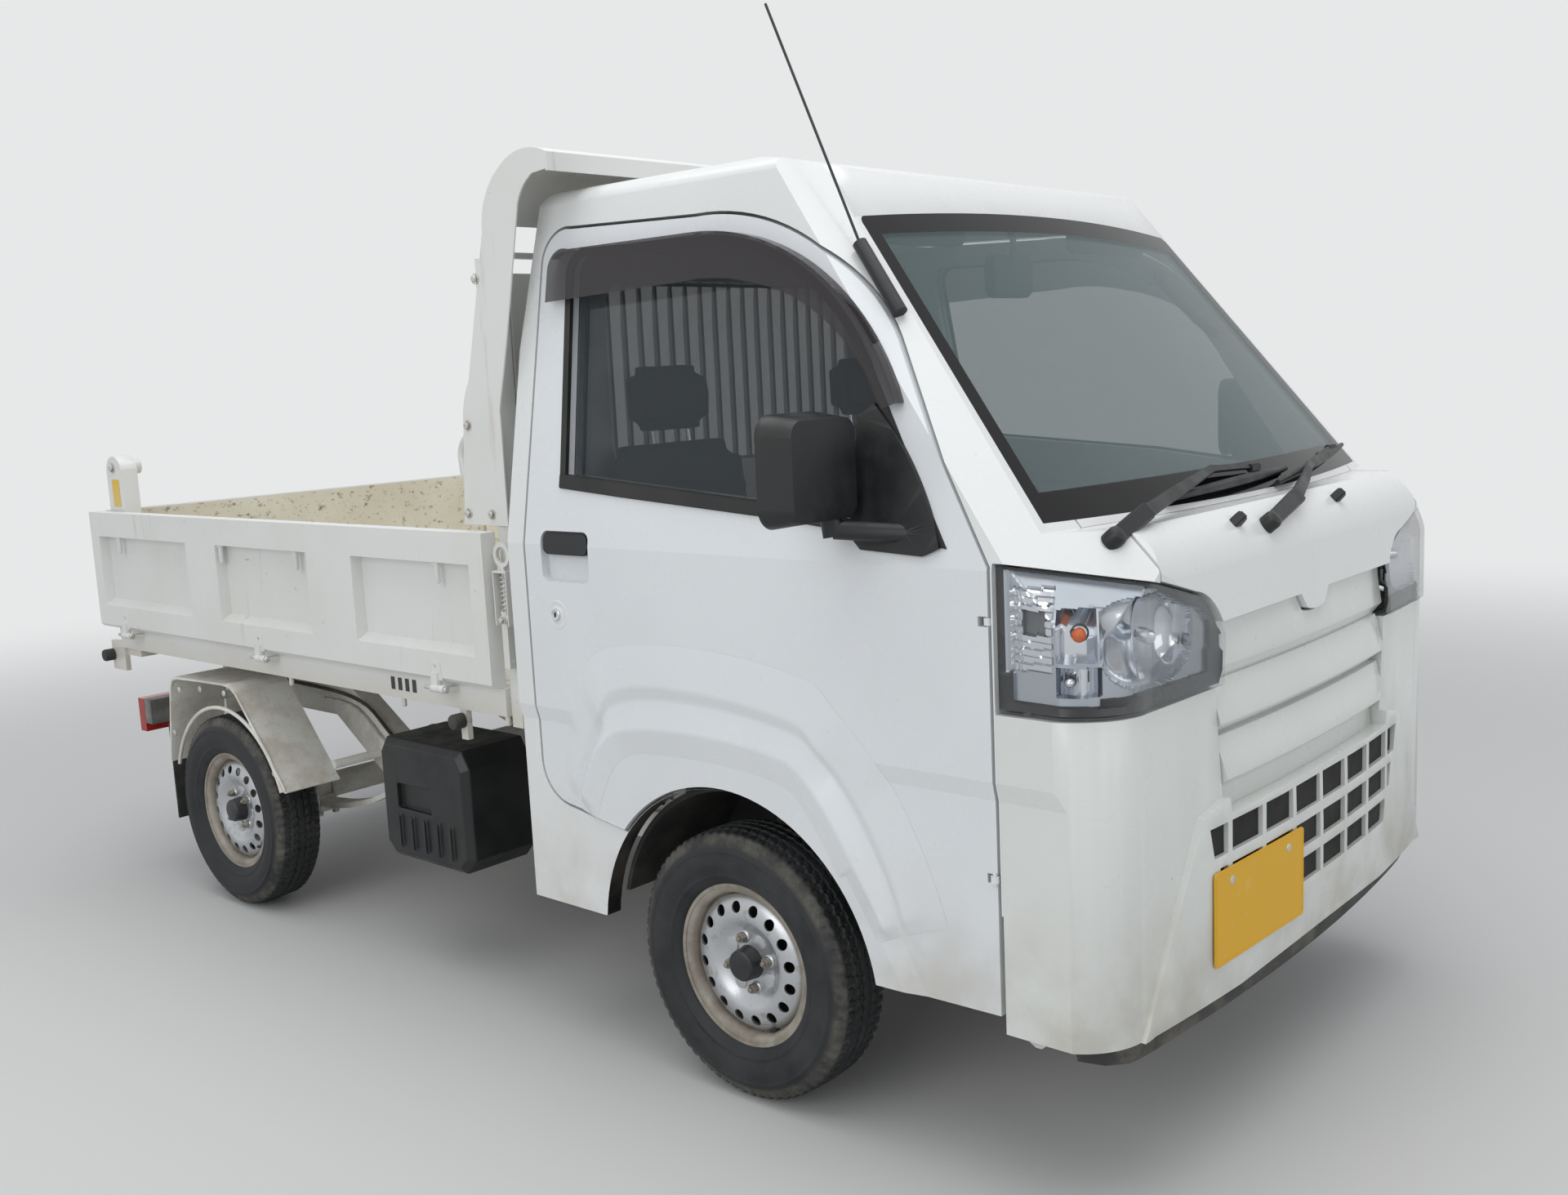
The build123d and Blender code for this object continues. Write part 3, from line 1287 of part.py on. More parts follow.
# Battery box, exhaust, fenders, flaps, rear beam and lamps
BOX_FACE_X = -690
box_edge = drawn(
    (335, 300),
    [((335, 530),), ((312, 562),), ((20, 562),), ((-5, 520),), ((-5, 305),), ((30, 268),), ((300, 268),)],
)
with BuildPart() as battery_box:
    add(prism_x(box_edge, BOX_FACE_X, BOX_FACE_X + 190))
    chamfer(battery_box.part.faces().sort_by(Axis.X)[0].edges(), 16)
    with BuildSketch(Plane.YZ.offset(BOX_FACE_X - 1)):
        with Locations((200, 425)):
            Rectangle(130, 60)
    extrude(amount=14, mode=Mode.SUBTRACT)
    for rib_y in (60, 110, 160, 210, 260):
        add(block(BOX_FACE_X - 8, BOX_FACE_X + 12, rib_y - 5, rib_y + 5, 300, 380))
    add(block(-510, -RAIL_OUTER, 60, 120, 360, 420))
    add(block(-510, -RAIL_OUTER, 230, 290, 360, 420))
write(battery_box.part, "battery_box")

with BuildPart() as exhaust:
    add(rod((180, -600, 305), (285, -600, 305), 20))
    add(rod((285, -618, 305), (285, 120, 285), 20))
    with BuildSketch(Plane.XZ.offset(-100)):
        with Locations((270, 262)):
            RectangleRounded(130, 120, 50)
    extrude(amount=-420)
    add(rod((285, 500, 285), (285, 690, 285), 20))
    add(block(290, 310, 300, 330, 315, 370))
    add(block(290, RAIL_INNER, 300, 330, 350, 370))
write(exhaust.part, "exhaust")

# Fuel tank on the passenger's side, with its seam, straps, brackets and filler
TANK_X = (412, 652)
TANK_Y = (-70, 420)
TANK_Z = (285, 520)
TANK_CORNER = 45
TANK_CHAMFER = 14
TANK_SEAM = 12
STRAP_WIDTH = 30
STRAP_THICKNESS = 3
TANK_STRAPS = (10, 310)
FILLER_RADIUS = 24
FILLER_CAP_RADIUS = 33
filler_foot = Vector(600, 170, 490)
filler_head = Vector(684, 170, 575)
filler_cap_end = filler_head + (filler_head - filler_foot).normalized() * 22
tank_width = TANK_X[1] - TANK_X[0]
tank_height = TANK_Z[1] - TANK_Z[0]
tank_middle = ((TANK_X[0] + TANK_X[1]) / 2, (TANK_Z[0] + TANK_Z[1]) / 2)
band_size = (tank_width + 2 * STRAP_THICKNESS, tank_height + 2 * STRAP_THICKNESS)
with BuildPart() as fuel_tank:
    with BuildSketch(Plane.XZ.offset(-TANK_Y[1])):
        with Locations(tank_middle):
            RectangleRounded(tank_width, tank_height, TANK_CORNER)
    extrude(amount=TANK_Y[1] - TANK_Y[0])
    chamfer(fuel_tank.part.faces().sort_by(Axis.Y)[0].edges(), TANK_CHAMFER)
    chamfer(fuel_tank.part.faces().sort_by(Axis.Y)[-1].edges(), TANK_CHAMFER)
    with BuildSketch(Plane.XY.offset(tank_middle[1])):
        with Locations((tank_middle[0], sum(TANK_Y) / 2)):
            RectangleRounded(tank_width + 2 * TANK_SEAM, TANK_Y[1] - TANK_Y[0] + 2 * TANK_SEAM, TANK_SEAM)
    extrude(amount=STRAP_THICKNESS)
    for strap_y in TANK_STRAPS:
        with BuildSketch(Plane.XZ.offset(-strap_y - STRAP_WIDTH)):
            with Locations(tank_middle):
                RectangleRounded(*band_size, TANK_CORNER + STRAP_THICKNESS)
        extrude(amount=STRAP_WIDTH)
        add(block(RAIL_OUTER, TANK_X[0] + 10, strap_y, strap_y + STRAP_WIDTH, 380, RAIL_LOW[1]))
    add(rod(filler_foot, filler_head, FILLER_RADIUS))
    add(rod(filler_head, filler_cap_end, FILLER_CAP_RADIUS))
write(fuel_tank.part, "fuel_tank")

FENDER_WALL = 5
FENDER_ARC = 288
FENDER_X = (-706, -545)
fender_edge = drawn(
    (REAR_AXLE_Y - 295, 360),
    [
        ((REAR_AXLE_Y - 81, 606),),
        ((REAR_AXLE_Y - 61, 622), (REAR_AXLE_Y - 37, 624)),
        ((REAR_AXLE_Y + 241, 616),),
        ((REAR_AXLE_Y + 267, 606), (REAR_AXLE_Y + 281, 580)),
        ((REAR_AXLE_Y + 323, 362),),
        ((REAR_AXLE_Y + 317, 360),),
        ((REAR_AXLE_Y + 274, 578),),
        ((REAR_AXLE_Y + 261, 601), (REAR_AXLE_Y + 240, 611)),
        ((REAR_AXLE_Y - 35, 618),),
        ((REAR_AXLE_Y - 57, 616), (REAR_AXLE_Y - 75, 602)),
        ((REAR_AXLE_Y - 287, 356),),
    ],
)
fender_side_edge = drawn(
    (REAR_AXLE_Y - 295, 360),
    [
        ((REAR_AXLE_Y - 81, 606),),
        ((REAR_AXLE_Y - 61, 622), (REAR_AXLE_Y - 37, 624)),
        ((REAR_AXLE_Y + 241, 616),),
        ((REAR_AXLE_Y + 267, 606), (REAR_AXLE_Y + 281, 580)),
        ((REAR_AXLE_Y + 323, 362),),
        ((REAR_AXLE_Y + 271, 362),),
        ((REAR_AXLE_Y, WHEEL_CENTRE_Z + FENDER_ARC), (REAR_AXLE_Y - 272, 358)),
    ],
)
with BuildPart() as rear_fenders:
    add(prism_x(fender_edge, *FENDER_X))
    add(prism_x(fender_side_edge, FENDER_X[0], FENDER_X[0] + FENDER_WALL))
    mirror(about=Plane.YZ)
write(rear_fenders.part, "rear_fenders")

with BuildPart() as mud_flaps:
    add(block(FENDER_X[0] + 6, FENDER_X[1] - 4, REAR_AXLE_Y + 323, REAR_AXLE_Y + 328, 190, 470))
    mirror(about=Plane.YZ)
write(mud_flaps.part, "mud_flaps")

REAR_BEAM_Y = FRAME_REAR_Y
with BuildPart() as rear_bumper:
    add(block(-640, 640, REAR_BEAM_Y, REAR_BEAM_Y + 38, 425, 500))
    add(block(-RAIL_OUTER, -RAIL_INNER, REAR_BEAM_Y - 10, REAR_BEAM_Y + 1, 440, 480))
    add(block(RAIL_INNER, RAIL_OUTER, REAR_BEAM_Y - 10, REAR_BEAM_Y + 1, 440, 480))
write(rear_bumper.part, "rear_bumper")

with BuildPart() as tail_lamps:
    add(block(-640, -430, REAR_BEAM_Y + 38, REAR_BEAM_Y + 74, 400, 500))
    mirror(about=Plane.YZ)
write(tail_lamps.part, "tail_lamps")

# Load bed: deck on its sub-frame, side sills, gate hinges, front posts and rear posts
SUBFRAME_X = (-394, -342)
WEAR_SHEET = 1.5
WEAR_HALF = DECK_HALF - 52
WEAR_Y = (-188, BED_REAR_Y - 98)
POST_X = (-DECK_HALF - 3, -DECK_HALF + 45)
POST_Y = (BED_REAR_Y - 93, BED_REAR_Y - 4)
POST_LOW_Z = 650
POST_SHOULDER_Z = 1195
POST_TOP_Z = 1232
FRONT_POST_Y = (-236, -201)
FRONT_POST_TOP_Z = 1088
STOP_Y = (-38, BED_REAR_Y + 57)
STOP_Z = 648
SILL_X = (-DECK_HALF - 14, -DECK_HALF + 24)
HINGE_KNUCKLE = 9
GATE_HINGES = (0, 750, BED_REAR_Y - 118)
HINGE_LENGTH = 70
DECK_BARS = (-190, 160, 520, 1000, 1290, BED_REAR_Y - 38)
subframe_edge = drawn(
    (-150, 606),
    [
        ((-150, BED_SILL_Z),),
        ((BED_REAR_Y, BED_SILL_Z),),
        ((BED_REAR_Y, BED_SILL_Z - 5),),
        ((BED_HINGE_Y + 30, 620),),
        ((BED_HINGE_Y, 606),),
    ],
)
post_edge = drawn(
    (POST_Y[0], POST_LOW_Z),
    [
        ((POST_Y[0], POST_SHOULDER_Z),),
        ((TAILGATE_PIVOT_Y, POST_TOP_Z), (POST_Y[1], POST_SHOULDER_Z)),
        ((POST_Y[1], POST_LOW_Z),),
    ],
)
with BuildPart() as bed_side:
    add(prism_x(subframe_edge, *SUBFRAME_X))
    add(block(*SILL_X, GATE_FRONT_Y, BED_REAR_Y, BED_SILL_Z - 24, DECK_Z))
    for hinge_y in GATE_HINGES:
        add(
            rod(
                (-GATE_HINGE_X, hinge_y - HINGE_LENGTH / 2, GATE_HINGE_Z),
                (-GATE_HINGE_X, hinge_y - HINGE_LENGTH / 6, GATE_HINGE_Z),
                HINGE_KNUCKLE,
            )
        )
        hinge_end = hinge_y - HINGE_LENGTH / 6
        add(block(-GATE_HINGE_X, -DECK_HALF, hinge_y - HINGE_LENGTH / 2, hinge_end, 716, 726))
    add(prism_x(post_edge, *POST_X))
    add(block(*POST_X, *FRONT_POST_Y, POST_LOW_Z, FRONT_POST_TOP_Z))
    for stop_y in STOP_Y:
        add(rod((-DECK_HALF - 42, stop_y, STOP_Z), (-DECK_HALF, stop_y, STOP_Z), 15))
        bracket_front = min(stop_y, BED_REAR_Y) - 14
        add(block(SILL_X[0], -DECK_HALF, bracket_front, stop_y + 9, STOP_Z - 44, STOP_Z + 42))
with BuildPart() as bed_floor:
    deck_low_z = DECK_Z - DECK_THICKNESS
    add(block(-DECK_HALF, DECK_HALF, FRONT_POST_Y[0], BED_REAR_Y, deck_low_z, DECK_Z - WEAR_SHEET))
    add(block(-WEAR_HALF, WEAR_HALF, *WEAR_Y, deck_low_z, DECK_Z))
    add(bed_side.part)
    add(mirror(bed_side.part, about=Plane.YZ))
    for bar_y in DECK_BARS:
        add(block(-DECK_HALF, DECK_HALF, bar_y - 18, bar_y + 18, 672, DECK_Z - 2))
    for x_sign in (-1, 1):
        ear = x_sign * (SUBFRAME_X[0] + SUBFRAME_X[1]) / 2
        add(block(ear - 22, ear + 22, BED_HINGE_Y - 28, BED_HINGE_Y + 28, BED_HINGE_Z, 640))
        add(rod((ear - 22, BED_HINGE_Y, BED_HINGE_Z), (ear + 22, BED_HINGE_Y, BED_HINGE_Z), 28))
        hole_start = (ear - 34, BED_HINGE_Y, BED_HINGE_Z)
        hole_end = (ear + 34, BED_HINGE_Y, BED_HINGE_Z)
        pin_hole = rod(hole_start, hole_end, HINGE_PIN + PIN_CLEARANCE)
        add(pin_hole, mode=Mode.SUBTRACT)
        fork_low = min(x_sign * FORK_GAP, x_sign * (FORK_GAP + FORK_WALL))
        add(block(fork_low, fork_low + FORK_WALL, 1060, 1120, 600, 730))
write(bed_floor.part, "bed_floor")

# Guard over the cab's back: side plates, a folded roof lip, a barred window and a lower panel
guard_side_edge = drawn(
    (-246, 1088),
    [
        ((-246, 1330),),
        ((-297, 1518),),
        ((-350, 1736),),
        ((-366, 1762), (-400, 1788)),
        ((-448, 1792),),
        ((-448, 1824),),
        ((-370, 1838), (-292, 1806)),
        ((-250, 1760), (-232, 1690)),
        ((-150, 1394),),
        ((-129, 1353), (-120, 1300)),
        ((-98, 1088),),
    ],
)
GUARD_X = DECK_HALF + 12
GUARD_SHEET = 4
guard_lip_edge = drawn(
    (-448, 1788),
    [
        ((-448, 1824),),
        ((-370, 1838), (-292, 1806)),
        ((-250, 1760), (-232, 1690)),
        ((-222, 1650),),
        ((-227, 1650),),
        ((-255, 1756), (-296, 1801)),
        ((-370, 1832), (-443, 1818)),
        ((-443, 1788),),
    ],
)
guard_panel_edge = drawn(
    (-222, 1652),
    [
        ((-204, 1580),),
        ((-200, 1500),),
        ((-200, DECK_Z - WEAR_SHEET),),
        ((-236, DECK_Z - WEAR_SHEET),),
        ((-236, 1500),),
        ((-240, 1652),),
    ],
)
GUARD_WINDOW_HALF = 500
GUARD_WINDOW_Z = (1180, 1590)
GUARD_BARS = 19
GUARD_BAR = 9
with BuildPart() as guard_panel:
    add(prism_x(guard_panel_edge, POST_X[1], -POST_X[1]))
    add(block(-GUARD_X + 60, GUARD_X - 60, -260, -215, DECK_Z - 5, 1120), mode=Mode.SUBTRACT)
    add(block(-GUARD_X + 60, GUARD_X - 60, -260, -212, 1140, 1640), mode=Mode.SUBTRACT)
    with BuildSketch(Plane.XZ.offset(100)):
        with Locations((0, sum(GUARD_WINDOW_Z) / 2)):
            Rectangle(2 * GUARD_WINDOW_HALF, GUARD_WINDOW_Z[1] - GUARD_WINDOW_Z[0])
            with GridLocations(2 * GUARD_WINDOW_HALF / (GUARD_BARS + 1), 1, GUARD_BARS, 1):
                Rectangle(GUARD_BAR, GUARD_WINDOW_Z[1] - GUARD_WINDOW_Z[0] + 2, mode=Mode.SUBTRACT)
    extrude(amount=200, mode=Mode.SUBTRACT)
with BuildPart() as bed_guard:
    add(prism_x(guard_side_edge, -GUARD_X, -GUARD_X + GUARD_SHEET))
    add(block(-GUARD_X, -GUARD_X + 52, *FRONT_POST_Y, FRONT_POST_TOP_Z, 1640))
    mirror(about=Plane.YZ)
    add(prism_x(guard_lip_edge, -GUARD_X, GUARD_X))
    add(guard_panel.part)
write(bed_guard.part, "bed_guard")

# Gate latches on the front posts: a folded channel, its spindle and eye, a pivot and a hand lever
LATCH_Y = FRONT_POST_Y[0] + 6
LATCH_HALF = 22
LATCH_SHEET = 3
LATCH_DEPTH = 31
LATCH_Z = (878, 995)
SPINDLE_X = POST_X[0] - 17
LATCH_EYE_RADIUS = 22
LATCH_EYE_Z = 1028
LATCH_LEVER_LOW_Z = 785
latch_outer_x = POST_X[0] - LATCH_DEPTH
latch_y = (LATCH_Y - LATCH_HALF, LATCH_Y + LATCH_HALF)
spindle_foot = Vector(SPINDLE_X, LATCH_Y, LATCH_Z[0] + 22)
eye_middle = Vector(SPINDLE_X, LATCH_Y, LATCH_EYE_Z)
with BuildPart() as latch_side:
    add(block(POST_X[0] - LATCH_SHEET, POST_X[0], *latch_y, *LATCH_Z))
    for cheek_y in (latch_y[0], latch_y[1] - LATCH_SHEET):
        add(block(latch_outer_x, POST_X[0], cheek_y, cheek_y + LATCH_SHEET, *LATCH_Z))
    add(block(latch_outer_x, POST_X[0], *latch_y, LATCH_Z[1] - 4, LATCH_Z[1]))
    add(rod(spindle_foot, eye_middle - Vector(0, 0, LATCH_EYE_RADIUS), 5))
    with BuildSketch(Plane(origin=eye_middle, x_dir=(0, 1, 0), z_dir=(0, 0, 1))):
        with Locations((LATCH_EYE_RADIUS, 0)):
            Rectangle(9, 9)
    revolve(axis=Axis(eye_middle, (1, 0, 0)))
    pivot_x = (latch_outer_x - 4, POST_X[0])
    add(rod((pivot_x[0], LATCH_Y - 8, LATCH_Z[0] + 14), (pivot_x[1], LATCH_Y - 8, LATCH_Z[0] + 14), 9))
    add(block(SPINDLE_X - 6, POST_X[0], LATCH_Y - 6, LATCH_Y + 12, LATCH_LEVER_LOW_Z, LATCH_Z[0] + 30))
write(both(latch_side.part), "gate_latches")

# Side gate: a sheet with top and bottom rails, end channels, stiffeners and rope hooks
GATE_LOW_Z = DECK_Z + GATE_GAP
GATE_SHEET = 8
gate_section = [
    (-HALF_WIDTH, GATE_TOP_Z),
    (-HALF_WIDTH + GATE_WALL, GATE_TOP_Z),
    (-HALF_WIDTH + GATE_WALL, GATE_LOW_Z),
    (-HALF_WIDTH + 8, GATE_LOW_Z),
    (-HALF_WIDTH, GATE_LOW_Z + 8),
    (-HALF_WIDTH, 806),
    (-HALF_WIDTH + GATE_WALL - GATE_SHEET, 822),
    (-HALF_WIDTH + GATE_WALL - GATE_SHEET, 1000),
    (-HALF_WIDTH, 1006),
]
ROPE_HOOK_Y = (-18, 556, 919, BED_REAR_Y - 108)
ROPE_HOOK_RADIUS = 6
rope_hook_x = -HALF_WIDTH + 11
# columns: y low, y high of each upright on the gate
GATE_UPRIGHTS = [(GATE_FRONT_Y, GATE_FRONT_Y + 50), (302, 494), (930, 1085), (GATE_REAR_Y - 48, GATE_REAR_Y)]
with BuildPart() as gate_side:
    with BuildSketch(Plane.XZ.offset(-GATE_REAR_Y)):
        with BuildLine():
            Polyline(*gate_section, close=True)
        make_face()
    extrude(amount=GATE_REAR_Y - GATE_FRONT_Y)
    for y_low, y_high in GATE_UPRIGHTS:
        add(block(-HALF_WIDTH, -HALF_WIDTH + GATE_WALL - 2, y_low, y_high, 790, 1010))
    for hook_y in ROPE_HOOK_Y:
        add(rod((rope_hook_x, hook_y, 962), (rope_hook_x, hook_y, 1007), ROPE_HOOK_RADIUS))
    for hinge_y in GATE_HINGES:
        add(
            rod(
                (-GATE_HINGE_X, hinge_y - HINGE_LENGTH / 6 + 0.5, GATE_HINGE_Z),
                (-GATE_HINGE_X, hinge_y + HINGE_LENGTH / 6 - 0.5, GATE_HINGE_Z),
                HINGE_KNUCKLE,
            )
        )
        leaf_half = HINGE_LENGTH / 6 - 0.5
        leaf_x = (-GATE_HINGE_X - 4, -HALF_WIDTH + 6)
        add(block(*leaf_x, hinge_y - leaf_half, hinge_y + leaf_half, GATE_HINGE_Z, 760))
write(gate_side.part, "gate_right")
with BuildPart() as gate_left:
    add(gate_side.part)
    mirror(about=Plane.YZ, mode=Mode.REPLACE)
write(gate_left.part, "gate_left")

# Tailgate between the rear posts, hung by two tube arms
TAILGATE_HALF = DECK_HALF - 6
TAILGATE_Y = (BED_REAR_Y + 6, BED_REAR_Y + 48)
TUBE_RADIUS = 12
ARM_X = 630
PIVOT_HALF = 14.5
with BuildPart() as tailgate:
    add(block(-TAILGATE_HALF, TAILGATE_HALF, TAILGATE_Y[0], TAILGATE_Y[0] + 8, DECK_Z + 5, GATE_TOP_Z))
    add(block(-TAILGATE_HALF, TAILGATE_HALF, *TAILGATE_Y, 1006, GATE_TOP_Z))
    add(block(-TAILGATE_HALF, TAILGATE_HALF, *TAILGATE_Y, DECK_Z + 5, 806))
    for x_low in (-TAILGATE_HALF, -325, 250, TAILGATE_HALF - 75):
        add(block(x_low, x_low + 75, *TAILGATE_Y, 790, 1010))
    for x_sign in (-1, 1):
        arm_x = x_sign * ARM_X
        with BuildLine() as arm_line:
            arm_rise = Line((arm_x, TAILGATE_Y[1] + 24, 1010), (arm_x, REAR_Y - TUBE_RADIUS, 1120))
            arm_end = (arm_x, TAILGATE_PIVOT_Y + 10, TAILGATE_PIVOT_Z + 6)
            ThreePointArc(arm_rise @ 1, (arm_x, TAILGATE_Y[1] + 18, 1192), arm_end)
        with BuildSketch(Plane(origin=arm_rise @ 0, z_dir=arm_rise % 0)):
            Circle(TUBE_RADIUS)
        sweep(path=arm_line.line)
        add(block(arm_x - 14, arm_x + 14, TAILGATE_Y[1] - 2, TAILGATE_Y[1] + 26, 1005, 1060))
        pivot = Vector(arm_x, TAILGATE_PIVOT_Y, TAILGATE_PIVOT_Z)
        add(rod(pivot - Vector(PIVOT_HALF, 0, 0), pivot + Vector(PIVOT_HALF, 0, 0), 22))
write(tailgate.part, "tailgate")

# Hoist
BARREL_RADIUS = 34
ROD_RADIUS = 17
hoist_axis = Vector(*HOIST_EYE) - Vector(*HOIST_BASE)
hoist_way = hoist_axis.normalized()


def on_hoist(distance):
    """A point on the hoist's axis, measured from its base pin."""
    return tuple(Vector(*HOIST_BASE) + hoist_way * distance)


BARREL_LENGTH = 620
with BuildPart() as hoist_cylinder:
    add(rod(on_hoist(62), on_hoist(BARREL_LENGTH), BARREL_RADIUS, ROD_RADIUS + PIN_CLEARANCE))
    add(rod(on_hoist(15), on_hoist(100), ROD_RADIUS + 3))
    add(rod((-16, *HOIST_BASE[1:]), (16, *HOIST_BASE[1:]), EYE_RADIUS))
    add(rod((-17, *HOIST_BASE[1:]), (17, *HOIST_BASE[1:]), EYE_BORE), mode=Mode.SUBTRACT)
write(hoist_cylinder.part, "hoist_cylinder")
with BuildPart() as hoist_rod:
    add(rod(on_hoist(160), on_hoist(hoist_axis.length - 15), ROD_RADIUS))
    add(rod((-16, *HOIST_EYE[1:]), (16, *HOIST_EYE[1:]), EYE_RADIUS))
    add(rod((-17, *HOIST_EYE[1:]), (17, *HOIST_EYE[1:]), EYE_BORE), mode=Mode.SUBTRACT)
write(hoist_rod.part, "hoist_rod")
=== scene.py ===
import json
from math import atan2, cos, degrees, exp, hypot, pi, radians, sin
import bmesh
import bpy
from mathutils import Matrix, Vector
from mathutils.bvhtree import BVHTree


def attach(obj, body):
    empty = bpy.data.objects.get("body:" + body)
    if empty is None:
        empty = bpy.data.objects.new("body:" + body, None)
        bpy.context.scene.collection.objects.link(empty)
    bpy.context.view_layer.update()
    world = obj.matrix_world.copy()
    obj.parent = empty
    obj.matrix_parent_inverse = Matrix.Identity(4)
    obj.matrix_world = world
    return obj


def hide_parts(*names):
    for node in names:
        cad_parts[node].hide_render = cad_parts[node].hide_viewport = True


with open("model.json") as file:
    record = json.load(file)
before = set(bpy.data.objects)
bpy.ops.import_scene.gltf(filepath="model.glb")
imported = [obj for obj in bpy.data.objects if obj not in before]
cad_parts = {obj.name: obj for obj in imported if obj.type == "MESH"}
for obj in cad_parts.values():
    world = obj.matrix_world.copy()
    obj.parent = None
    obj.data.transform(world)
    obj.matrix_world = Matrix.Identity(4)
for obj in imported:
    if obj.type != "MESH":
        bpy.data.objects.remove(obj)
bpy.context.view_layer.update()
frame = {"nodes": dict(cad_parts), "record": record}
nodes = frame["nodes"]
scene = bpy.context.scene


def add(name, data):
    """A new object in the scene."""
    thing = bpy.data.objects.new(name, data)
    scene.collection.objects.link(thing)
    return thing


# Camera: the photograph's viewpoint and lens
CAMERA_AT = Vector((-2.66192, -2.74052, 1.37818))
AZIMUTH, ELEVATION, ROLL = radians(-48.51), radians(8.54), radians(-2.75)
SENSOR_MM, FOCAL_PIXELS, PHOTO_PIXELS = 36.0, 1829.16, 1920
camera = add("camera", bpy.data.cameras.new("camera"))
camera.data.sensor_width = SENSOR_MM
camera.data.lens = SENSOR_MM * FOCAL_PIXELS / PHOTO_PIXELS
back = Vector((sin(AZIMUTH) * cos(ELEVATION), -cos(AZIMUTH) * cos(ELEVATION), sin(ELEVATION)))
right = (-back).cross(Vector((0, 0, 1))).normalized()
up = right.cross(-back)
turn = Matrix((right * cos(ROLL) + up * sin(ROLL), up * cos(ROLL) - right * sin(ROLL), back)).transposed()
camera.matrix_world = Matrix.Translation(CAMERA_AT) @ turn.to_4x4()
camera.data.clip_start = 0.05
camera.data.clip_end = 100
scene.camera = camera
scene.view_settings.view_transform = "Standard"


# Materials
def joined(operation):
    """A method that adds a maths node."""
    return lambda *values: maths(operation, *values)


class Value:
    """A shader value: arithmetic on it adds maths nodes, and a | b is the larger of two."""

    def __init__(self, socket):
        self.socket = socket

    __add__ = joined("ADD")
    __sub__ = joined("SUBTRACT")
    __mul__ = joined("MULTIPLY")
    __lt__ = joined("LESS_THAN")
    __gt__ = joined("GREATER_THAN")
    __or__ = joined("MAXIMUM")
    __abs__ = joined("ABSOLUTE")

    def __rsub__(self, other):
        return maths("SUBTRACT", other, self)


def feed(socket, value):
    """Links a value to a socket, or sets the socket to a number or a colour."""
    if isinstance(value, Value):
        socket.id_data.links.new(value.socket, socket)
    else:
        socket.default_value = (*value, 1) if isinstance(value, tuple) else value


def maths(operation, *values):
    tree = [value for value in values if isinstance(value, Value)][0].socket.id_data
    node = tree.nodes.new("ShaderNodeMath")
    node.operation = operation
    for socket, value in zip(node.inputs, values):
        feed(socket, value)
    return Value(node.outputs[0])


def span(value, low, high, to_low=0.0, to_high=1.0):
    """A smooth step from to_low at low to to_high at high."""
    node = value.socket.id_data.nodes.new("ShaderNodeMapRange")
    node.interpolation_type = "SMOOTHSTEP"
    feed(node.inputs["Value"], value)
    for socket, number in zip(("From Min", "From Max", "To Min", "To Max"), (low, high, to_low, to_high)):
        node.inputs[socket].default_value = number
    return Value(node.outputs[0])


def mix(share, first, second):
    node = share.socket.id_data.nodes.new("ShaderNodeMix")
    node.data_type = "RGBA"
    for socket, value in ((0, share), (6, first), (7, second)):
        feed(node.inputs[socket], value)
    return Value(node.outputs[2])


look = {}


class Paint:
    """A Principled material, kept in look by its name, with the place on the object as x, y and z."""

    def __init__(self, name, colour, rough=0.5, metal=0.0, **sockets):
        look[name] = bpy.data.materials.new(name)
        look[name].use_nodes = True
        self.tree = look[name].node_tree
        self.shader = self.tree.nodes["Principled BSDF"]
        self.put(Base_Color=colour, Roughness=rough, Metallic=metal, **sockets)
        self.place = Value(self.tree.nodes.new("ShaderNodeTexCoord").outputs["Object"])
        parts = self.tree.nodes.new("ShaderNodeSeparateXYZ")
        feed(parts.inputs[0], self.place)
        self.x, self.y, self.z = (Value(part) for part in parts.outputs)

    def put(self, **sockets):
        for socket, value in sockets.items():
            feed(self.shader.inputs[socket.replace("_", " ")], value)

    def noise(self, scale, detail, stretch=(1, 1, 1), rough=0.55):
        spread = self.tree.nodes.new("ShaderNodeMapping")
        spread.inputs["Scale"].default_value = stretch
        feed(spread.inputs[0], self.place)
        node = self.tree.nodes.new("ShaderNodeTexNoise")
        for socket, value in (("Scale", scale), ("Detail", detail), ("Roughness", rough)):
            node.inputs[socket].default_value = value
        feed(node.inputs["Vector"], Value(spread.outputs[0]))
        return Value(node.outputs["Fac"])

    def blots(self, scale, detail, low, high, to_low=0.0, to_high=1.0, **how):
        """Noise stepped between two of its values."""
        return span(self.noise(scale, detail, **how), low, high, to_low, to_high)

    def bump(self, height, strength, distance):
        node = self.tree.nodes.new("ShaderNodeBump")
        for socket, value in (("Strength", strength), ("Distance", distance), ("Height", height)):
            feed(node.inputs[socket], value)
        self.put(Normal=Value(node.outputs[0]))


DUST = (0.42, 0.37, 0.28)
GRIME = (0.13, 0.11, 0.085)
FRONT_AXLE, REAR_AXLE, WHEEL_Z, ARCH_RADIUS = -0.857, 1.043, 0.265, 0.3515


def dimmed(colour, share):
    return tuple(c * share for c in colour)


def from_axle(p, y):
    """Distance from the axle line."""
    along, height = p.y - y, p.z - WHEEL_Z
    return maths("SQRT", along * along + height * height)


